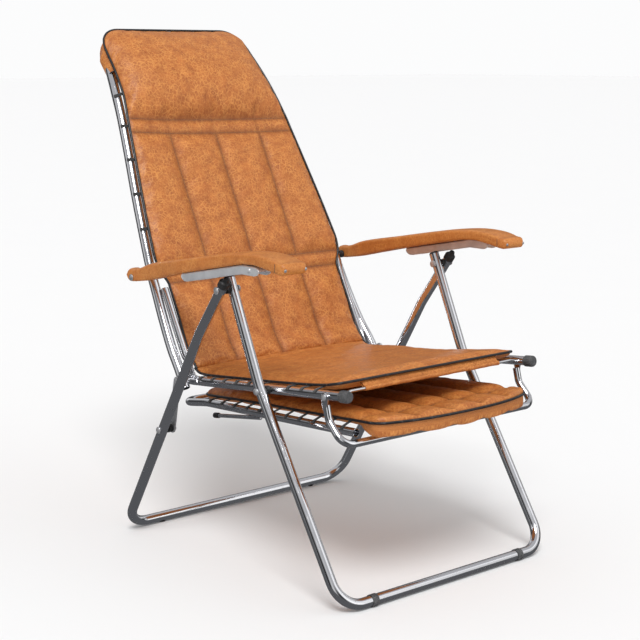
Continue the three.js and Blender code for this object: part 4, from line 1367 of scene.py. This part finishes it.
def pocket_section(half, depth, outset):
    """The pocket's outline round the frame, as evenly spaced (x, depth behind the pad)."""
    side = [(half, -0.5), (half + 0.7 * outset, 0.12 * depth), (half + outset, 0.4 * depth),
            (half + outset, 0.68 * depth), (half + 0.1 * outset, 0.93 * depth), (half - 22, depth),
            (0.55 * half, 1.02 * depth)]
    corners = [(-x, d) for x, d in side] + [(0, 0.98 * depth)] + side[::-1]
    line = smooth_path([np.array((0.0, x, d)) for x, d in corners], 6)[:, 1:]
    run = run_along(line)
    even = np.linspace(0, run[-1], POCKET_COLUMNS)
    return np.stack([np.interp(even, run, line[:, k]) for k in (0, 1)], axis=1)


def head_pocket(pad):
    """The vinyl panel behind the head, open below, that slips over the top of the frame."""
    start, end = BACK_LINE.at_height(940), BACK_LINE.length
    outer, inner = [], []
    for s in np.linspace(start, end, 26):
        crown = math.sqrt(max(0.0, 1 - max(0.0, 1 - (end - s) / 24) ** 2))
        section = pocket_section(float(back_half(s)), 2 + 29 * crown, 1 + 6 * crown)
        x, depth = section.T
        ripple = 1.2 * np.sin(x / 24) * np.clip((end - s) / (end - start), 0, 1) * np.clip(depth / 25, 0, 1)
        u = x / back_half(s)
        row = np.full_like(x, s)
        outer.append(pad.place_at(x, u, row, -depth - ripple))
        inner.append(pad.place_at(x * (1 - POCKET_WALL / 190), u, row, -depth - ripple + POCKET_WALL))
    outer, inner = np.array(outer), np.array(inner)
    rings = [np.vstack([outer[:, k], inner[::-1, k]]) for k in range(outer.shape[1])]
    piece = make("head_pocket_panel", *skin(rings), POCKET_VINYL, sharp=60)
    settle(piece, "back", "vinyl", "head_pocket")
    band = make("head_pocket_hem", *cord_skin(list(outer[0] + (0, 0, 0.0006)), 1.5, 10), PIPING)
    settle(band, "back", "black_plastic")
    width = float(run_along(outer[0])[-1])
    length = float(run_along(outer[:, POCKET_COLUMNS // 2])[-1])


def footrest_pad():
    pad = footrest_pad_shape()
    piece = sew(pad, 5.0)
    settle(piece, "footrest", "vinyl", "footrest_pad")
    rim = pad.rim_points()
    loop = [*rim["low"][::-1], *rim["start"][1:-1], *rim["high"], *rim["end"][::-1][1:-1]]
    loop.append(loop[0])
    settle(make("footrest_piping", *cord_skin(loop), PIPING), "footrest", "black_plastic")
    settle(make("footrest_stitching", *stitches(pad), THREAD), "footrest", "vinyl")
    rail_straps(pad, "footrest", range(62, 480, 40), FOOTREST_RAIL_X, footrest_rail_z, FOOTREST_RADIUS)


# ---------------------------------------------------------------- armrests and racks

ARM_TOP = SideCurve([(632, 543), (612, 551), (588, 556), (548, 569), (435, 590), (330, 609), (255, 621),
                     (205, 625.5), (157, 624), (125, 618)][::-1])
ARM_UNDER = ((115, 596.5), (130, 598.5), (150, 602), (190, 607), (228, 605), (420, 567), (500, 549),
             (560, 535), (600, 529), (617, 527.5))
ARM_NOSE = (115, 606.5)
NOSE_RADIUS = 10
NOSE_BLEND = 20
ARM_TAIL = ARM_PIVOT + (6, 4)
TAIL_RADIUS = 12.5
TAIL_BLEND = 6
CORNER_STEPS = 5
TOP_ROUND = 5.0
UNDER_ROUND = 4.0
SEAM_Y = 127.0
TACK_RADIUS = 3.0


def arm_heights(y):
    """The armrest's lower and upper height at a depth."""
    low = np.interp(y, *zip(*ARM_UNDER))
    high = ARM_TOP.point(ARM_TOP.at_depth(y))[1]
    if y < ARM_NOSE[0]:
        rise = math.sqrt(max(0.0, NOSE_RADIUS ** 2 - (ARM_NOSE[0] - y) ** 2))
        return ARM_NOSE[1] - rise, ARM_NOSE[1] + rise
    if y < ARM_NOSE[0] + NOSE_BLEND:
        share = (y - ARM_NOSE[0]) / NOSE_BLEND
        share = share * share * (3 - 2 * share)
        high = (ARM_NOSE[1] + NOSE_RADIUS) * (1 - share) + high * share
    if y > ARM_TAIL[0] - TAIL_BLEND:
        rise = math.sqrt(max(0.0, TAIL_RADIUS ** 2 - max(0.0, y - ARM_TAIL[0]) ** 2))
        share = np.clip((y - ARM_TAIL[0] + TAIL_BLEND) / TAIL_BLEND, 0, 1)
        low = low * (1 - share) + (ARM_TAIL[1] - rise) * share
        high = high * (1 - share) + (ARM_TAIL[1] + rise) * share
    return low, high


def arm_widths(y):
    """The armrest's inner and outer x at a depth."""
    inner = float(np.interp(y, (120, 430, 540, 575), (250, 252, 262, 265)))
    outer = float(np.interp(y, (120, 430, 540, 575), (310, 308.5, 294, 292)))
    if y < 122:
        draw = 18 * (1 - math.sqrt(max(0.0, 1 - ((122 - y) / 20) ** 2)))
        inner, outer = inner + draw, outer - draw
    return inner, outer


def arm_section(y):
    """One rounded, slightly crowned section, as points in (x, z)."""
    low, high = arm_heights(y)
    inner, outer = arm_widths(y)
    width, height = outer - inner, high - low
    top_round = min(TOP_ROUND, height * 0.48)
    low_round = min(UNDER_ROUND, height * 0.48)
    points = []
    for cx, cz, radius, start in ((outer - top_round, high - top_round, top_round, 0),
                                  (inner + top_round, high - top_round, top_round, 90),
                                  (inner + low_round, low + low_round, low_round, 180),
                                  (outer - low_round, low + low_round, low_round, 270)):
        for k in range(CORNER_STEPS + 1):
            angle = math.radians(start + 90 * k / CORNER_STEPS)
            points.append((cx + radius * math.cos(angle), cz + radius * math.sin(angle)))
    filled = []
    for (x0, z0), (x1, z1) in zip(points, points[1:] + points[:1]):
        gap = math.hypot(x1 - x0, z1 - z0)
        parts = 6 if gap > 6 else 2 if gap > 2.2 else 1
        filled += [(x0 + (x1 - x0) * k / parts, z0 + (z1 - z0) * k / parts) for k in range(parts)]
    middle, half = (inner + outer) / 2, width / 2
    crowned = []
    for x, z in filled:
        share = (z - low) / max(height, 1e-6)
        crown = 1.6 * (1 - ((x - middle) / half) ** 2) * min(1, height / 14)
        crowned.append((x, z + crown * max(0.0, 2 * share - 1)))
    return crowned


SECTION_POINTS = 48


def even_section(y):
    """A section's outline resampled to a fixed number of points from the middle of its top."""
    outline = np.array(arm_section(y))
    middle = outline[:, 0].mean()
    first = int(np.argmin(np.abs(outline[:, 0] - middle) - 10 * outline[:, 1]))
    outline = np.roll(outline, -first, axis=0)
    closed = np.vstack([outline, outline[:1]])
    run = run_along(closed)
    places = np.linspace(0, run[-1], SECTION_POINTS, endpoint=False)
    return np.stack([np.interp(places, run, closed[:, k]) for k in (0, 1)], axis=1)


def armrests():
    nose = [ARM_NOSE[0] - NOSE_RADIUS * math.cos(a) for a in np.radians((2, 8, 16, 26, 38, 52, 68, 82))]
    tail = [ARM_TAIL[0] + TAIL_RADIUS * math.sin(a) for a in np.radians((10, 25, 40, 53, 65, 76, 84, 88.5))]
    stations = nose + list(np.arange(117, 150, 3.0)) + list(np.arange(152, 610, 7.0)) + [612.5] + tail
    sections = [even_section(y) for y in stations]
    for label, side in SIDES:
        rings = [[at(side * x, y, z) for x, z in section] for y, section in zip(stations, sections)]
        piece = make(f"armrest_pad_{label}", *skin(rings), ARM_VINYL, sharp=80)
        settle(piece, "arms", "arm_vinyl", f"armrest_{label}")
        arm_trim(label, side)


def arm_trim(label, side):
    """The sewn seams down the front corners, and the tacks in the nose."""
    low, high = arm_heights(SEAM_Y)
    inner, outer = arm_widths(SEAM_Y)
    seams = []
    for x in (outer + 0.15, inner - 0.15):
        line = [at(side * x, SEAM_Y, low + (high - low) * share) for share in np.linspace(0.12, 0.93, 9)]
        seams.append(cord_skin(line, 0.55, 8))
    settle(make(f"armrest_seams_{label}", *join_skins(seams), THREAD), "arms", "arm_vinyl")
    tacks = []
    for x in (257.5, 302.5):
        dome = dome_profile(TACK_RADIUS, 0.0, 1.5, 15)
        profile = [(0, -3.0), (1.2, -3.0), (1.2, -0.2), (TACK_RADIUS, -0.2), *dome, (0, 1.5)]
        tacks.append(lathe_skin(profile, at(side * x, 106.0, 605.5), np.array((0, -1, -0.15)), 24))
    settle(make(f"armrest_tacks_{label}", *join_skins(tacks), ZINC), "arms", "zinc_plate")


RACK_FRONT_Y = 178
RACK_NOSE = 16
RACK_CORNER_Y = 396
RACK_CORNER = 21
RACK_RISE = 14.5
RACK_X = 292
RACK_HALF = 14
RACK_WALL = 1.5
RACK_DEPTH = 17.5
SOLE = ((420, 567), (228, 605))


def rack_top(y):
    slope = (SOLE[1][1] - SOLE[0][1]) / (SOLE[1][0] - SOLE[0][0])
    held = np.maximum(y, 230.0)
    return SOLE[0][1] + slope * (held - SOLE[0][0]) - 0.3


def rack_nose(y):
    """Half the channel's height in its round nose."""
    share = (RACK_FRONT_Y + RACK_NOSE - y) / RACK_NOSE
    return RACK_DEPTH / 2 * math.sqrt(max(0.0, 1 - share ** 2))


def rack_low(y):
    """The channel's lower edge: a round nose in front, a straight run, and a rounded rear corner."""
    top = rack_top(y)
    if y < RACK_FRONT_Y + RACK_NOSE:
        return top - RACK_DEPTH / 2 - rack_nose(y)
    if y > RACK_CORNER_Y:
        share = (y - RACK_CORNER_Y) / RACK_CORNER
        return top - RACK_DEPTH + RACK_RISE * (1 - math.sqrt(max(0.0, 1 - share ** 2)))
    return top - RACK_DEPTH


def mirrored_x(points):
    return [(-x, z) for x, z in reversed(points)]


def racks():
    """Inverted channels under the armrests, with rolled lower edges and rounded shoulders."""
    stations = list(RACK_FRONT_Y + RACK_NOSE * (1 - np.cos(np.radians((6, 18, 32, 46, 60, 75, 90)))))
    stations += list(np.arange(200, 394, 9.0))
    stations += list(RACK_CORNER_Y + RACK_CORNER * np.sin(np.radians((0, 20, 38, 54, 68, 80))))
    for label, side in SIDES:
        rings = []
        for y in stations:
            top, low = rack_top(y), rack_low(y)
            if y < RACK_FRONT_Y + RACK_NOSE:
                top += rack_nose(y) - RACK_DEPTH / 2
            height = top - low
            shoulder = min(2.5, height * 0.4)
            edge = -RACK_HALF
            outer = [(edge, low + 0.5), (edge, low + height * 0.35), (edge, top - shoulder),
                     (edge + 0.7 * shoulder, top - 0.3 * shoulder), (edge + 1.6 * shoulder, top)]
            wall = RACK_HALF - RACK_WALL
            inner = [(wall, low + 0.5), (wall, low + height * 0.35),
                     (wall, top - shoulder - 0.6 * RACK_WALL * min(1, height / 6)),
                     (wall - 1.2 * shoulder, top - RACK_WALL * min(1, height / 8))]
            lip = [(RACK_HALF + 0.7, low + 1.3), (RACK_HALF + 0.5, low + 0.2), (wall + 0.3, low)]
            section = outer + mirrored_x(outer) + lip + inner + mirrored_x(inner) + mirrored_x(lip)
            rings.append([at(side * RACK_X + x, y, z) for x, z in section])
        rivet = [(0, -2.0), (2.0, -2.0), (2.0, 0), (4.2, 0), (4.0, 0.8), (2.9, 1.6), (1.4, 1.95), (0, 2.05)]
        place = at(side * (RACK_X + RACK_HALF), 206, rack_top(206) - RACK_DEPTH * 0.48)
        rivet_skin = lathe_skin(rivet, place, X_AXIS * side, 28)
        channel = join_skins([skin(rings), rivet_skin])
        piece = make(f"armrest_rack_channel_{label}", *channel, SATIN, sharp=40)
        settle(piece, "arms", "satin_channel", f"armrest_rack_{label}")


# ---------------------------------------------------------------- studio


def studio():
    """A pale floor under a soft sun. The metal mirrors the room below the horizon, not the floor."""
    reach = 60.0
    mesh = bpy.data.meshes.new("floor")
    mesh.from_pydata([(-reach, -reach, 0), (reach, -reach, 0), (reach, reach, 0), (-reach, reach, 0)], [],
                     [(0, 1, 2, 3)])
    floor = bpy.data.objects.new("floor", mesh)
    bpy.context.scene.collection.objects.link(floor)
    floor.visible_glossy = False
    material, tree, shader = new_material("floor", 0.8)
    tint = mixed(tree, noise(tree, place_of(tree), 3.0, 4.0), (0.86, 0.86, 0.86), (0.85, 0.85, 0.855))
    tree.links.new(tint, shader.inputs["Base Color"])
    mesh.materials.append(material)
    sun("key", (-0.62, -0.72, 1.3), 2.0, 0.45)
    sun("fill", (0.7, -0.9, 0.5), 0.35, 0.9)
    bpy.context.scene.view_settings.view_transform = "Standard"
    world_light()


def sun(name, place, power, angle):
    data = bpy.data.lights.new(name, "SUN")
    data.energy = power
    data.angle = angle
    lamp = bpy.data.objects.new(name, data)
    lamp.rotation_euler = (-Vector(place)).to_track_quat("-Z", "Y").to_euler()
    bpy.context.scene.collection.objects.link(lamp)


BAYS = 5.0
BAY_TURN = 0.9


def math_node(tree, operation, *values):
    return add_node(tree, "ShaderNodeMath", dict(enumerate(values)), operation=operation).outputs[0]


def world_light():
    """An even white room, whose grey floor and soft dark bays only the metal mirrors."""
    world = bpy.data.worlds.new("studio")
    bpy.context.scene.world = world
    world.use_nodes = True
    tree = world.node_tree
    direction = add_node(tree, "ShaderNodeTexCoord").outputs["Generated"]
    parts = add_node(tree, "ShaderNodeSeparateXYZ", {"Vector": direction})
    turn = math_node(tree, "ARCTAN2", parts.outputs["Y"], parts.outputs["X"])
    waves = math_node(tree, "MULTIPLY_ADD", turn, BAYS, BAY_TURN)
    bays = signed(tree, math_node(tree, "SINE", waves))
    walls = ramp(tree, bays, (0.34, 0.03), (0.92, 0.74))
    height = signed(tree, parts.outputs["Z"])
    above = mixed(tree, ramp(tree, height, (0.62, 0.0), (0.8, 1.0)), walls, (0.5, 0.5, 0.515))
    mirrored = mixed(tree, ramp(tree, height, (0.44, 0.0), (0.56, 1.0)), (0.11, 0.112, 0.118), above)
    rays = add_node(tree, "ShaderNodeLightPath")
    lit = mixed(tree, rays.outputs["Is Glossy Ray"], (0.62, 0.62, 0.62), mirrored)
    colour = mixed(tree, rays.outputs["Is Camera Ray"], lit, (0.973, 0.975, 0.978))
    tree.links.new(colour, tree.nodes["Background"].inputs["Color"])


def signed(tree, value):
    """A -1 to 1 value spread over 0 to 1."""
    inputs = {"Value": value, "From Min": -1.0, "From Max": 1.0}
    return add_node(tree, "ShaderNodeMapRange", inputs).outputs["Result"]


# The camera that the photograph was solved with: place, lens for a 36 mm sensor, heading and dip.
CAMERA_PLACE = Vector((-1.868, -2.2773, 0.969))
CAMERA_LENS = 82.3
SENSOR_WIDTH = 36.0
CAMERA_TURN = math.radians(40.09)
CAMERA_DROP = math.radians(10.175)


def camera():
    data = bpy.data.cameras.new("camera")
    data.lens = CAMERA_LENS
    data.sensor_width = SENSOR_WIDTH
    eye = bpy.data.objects.new("camera", data)
    level = math.cos(CAMERA_DROP)
    ahead = Vector((math.sin(CAMERA_TURN) * level, math.cos(CAMERA_TURN) * level, -math.sin(CAMERA_DROP)))
    eye.location = CAMERA_PLACE
    eye.rotation_euler = ahead.to_track_quat("-Z", "Y").to_euler()
    bpy.context.scene.collection.objects.link(eye)
    bpy.context.scene.camera = eye


# ---------------------------------------------------------------- everything together

camera()
studio()
leg_frames()
seat_rails()
front_rod()
hanger()
back_frame()
footrest_frame()
bolts_and_spacers()
end_pieces()
link_bars()
seat_pad()
back_pad()
footrest_pad()
armrests()
racks()
for stud in ("rear_foot_stud_right", "rear_foot_stud_left"):
    frame["nodes"][stud].material_slots[0].material = BLACK
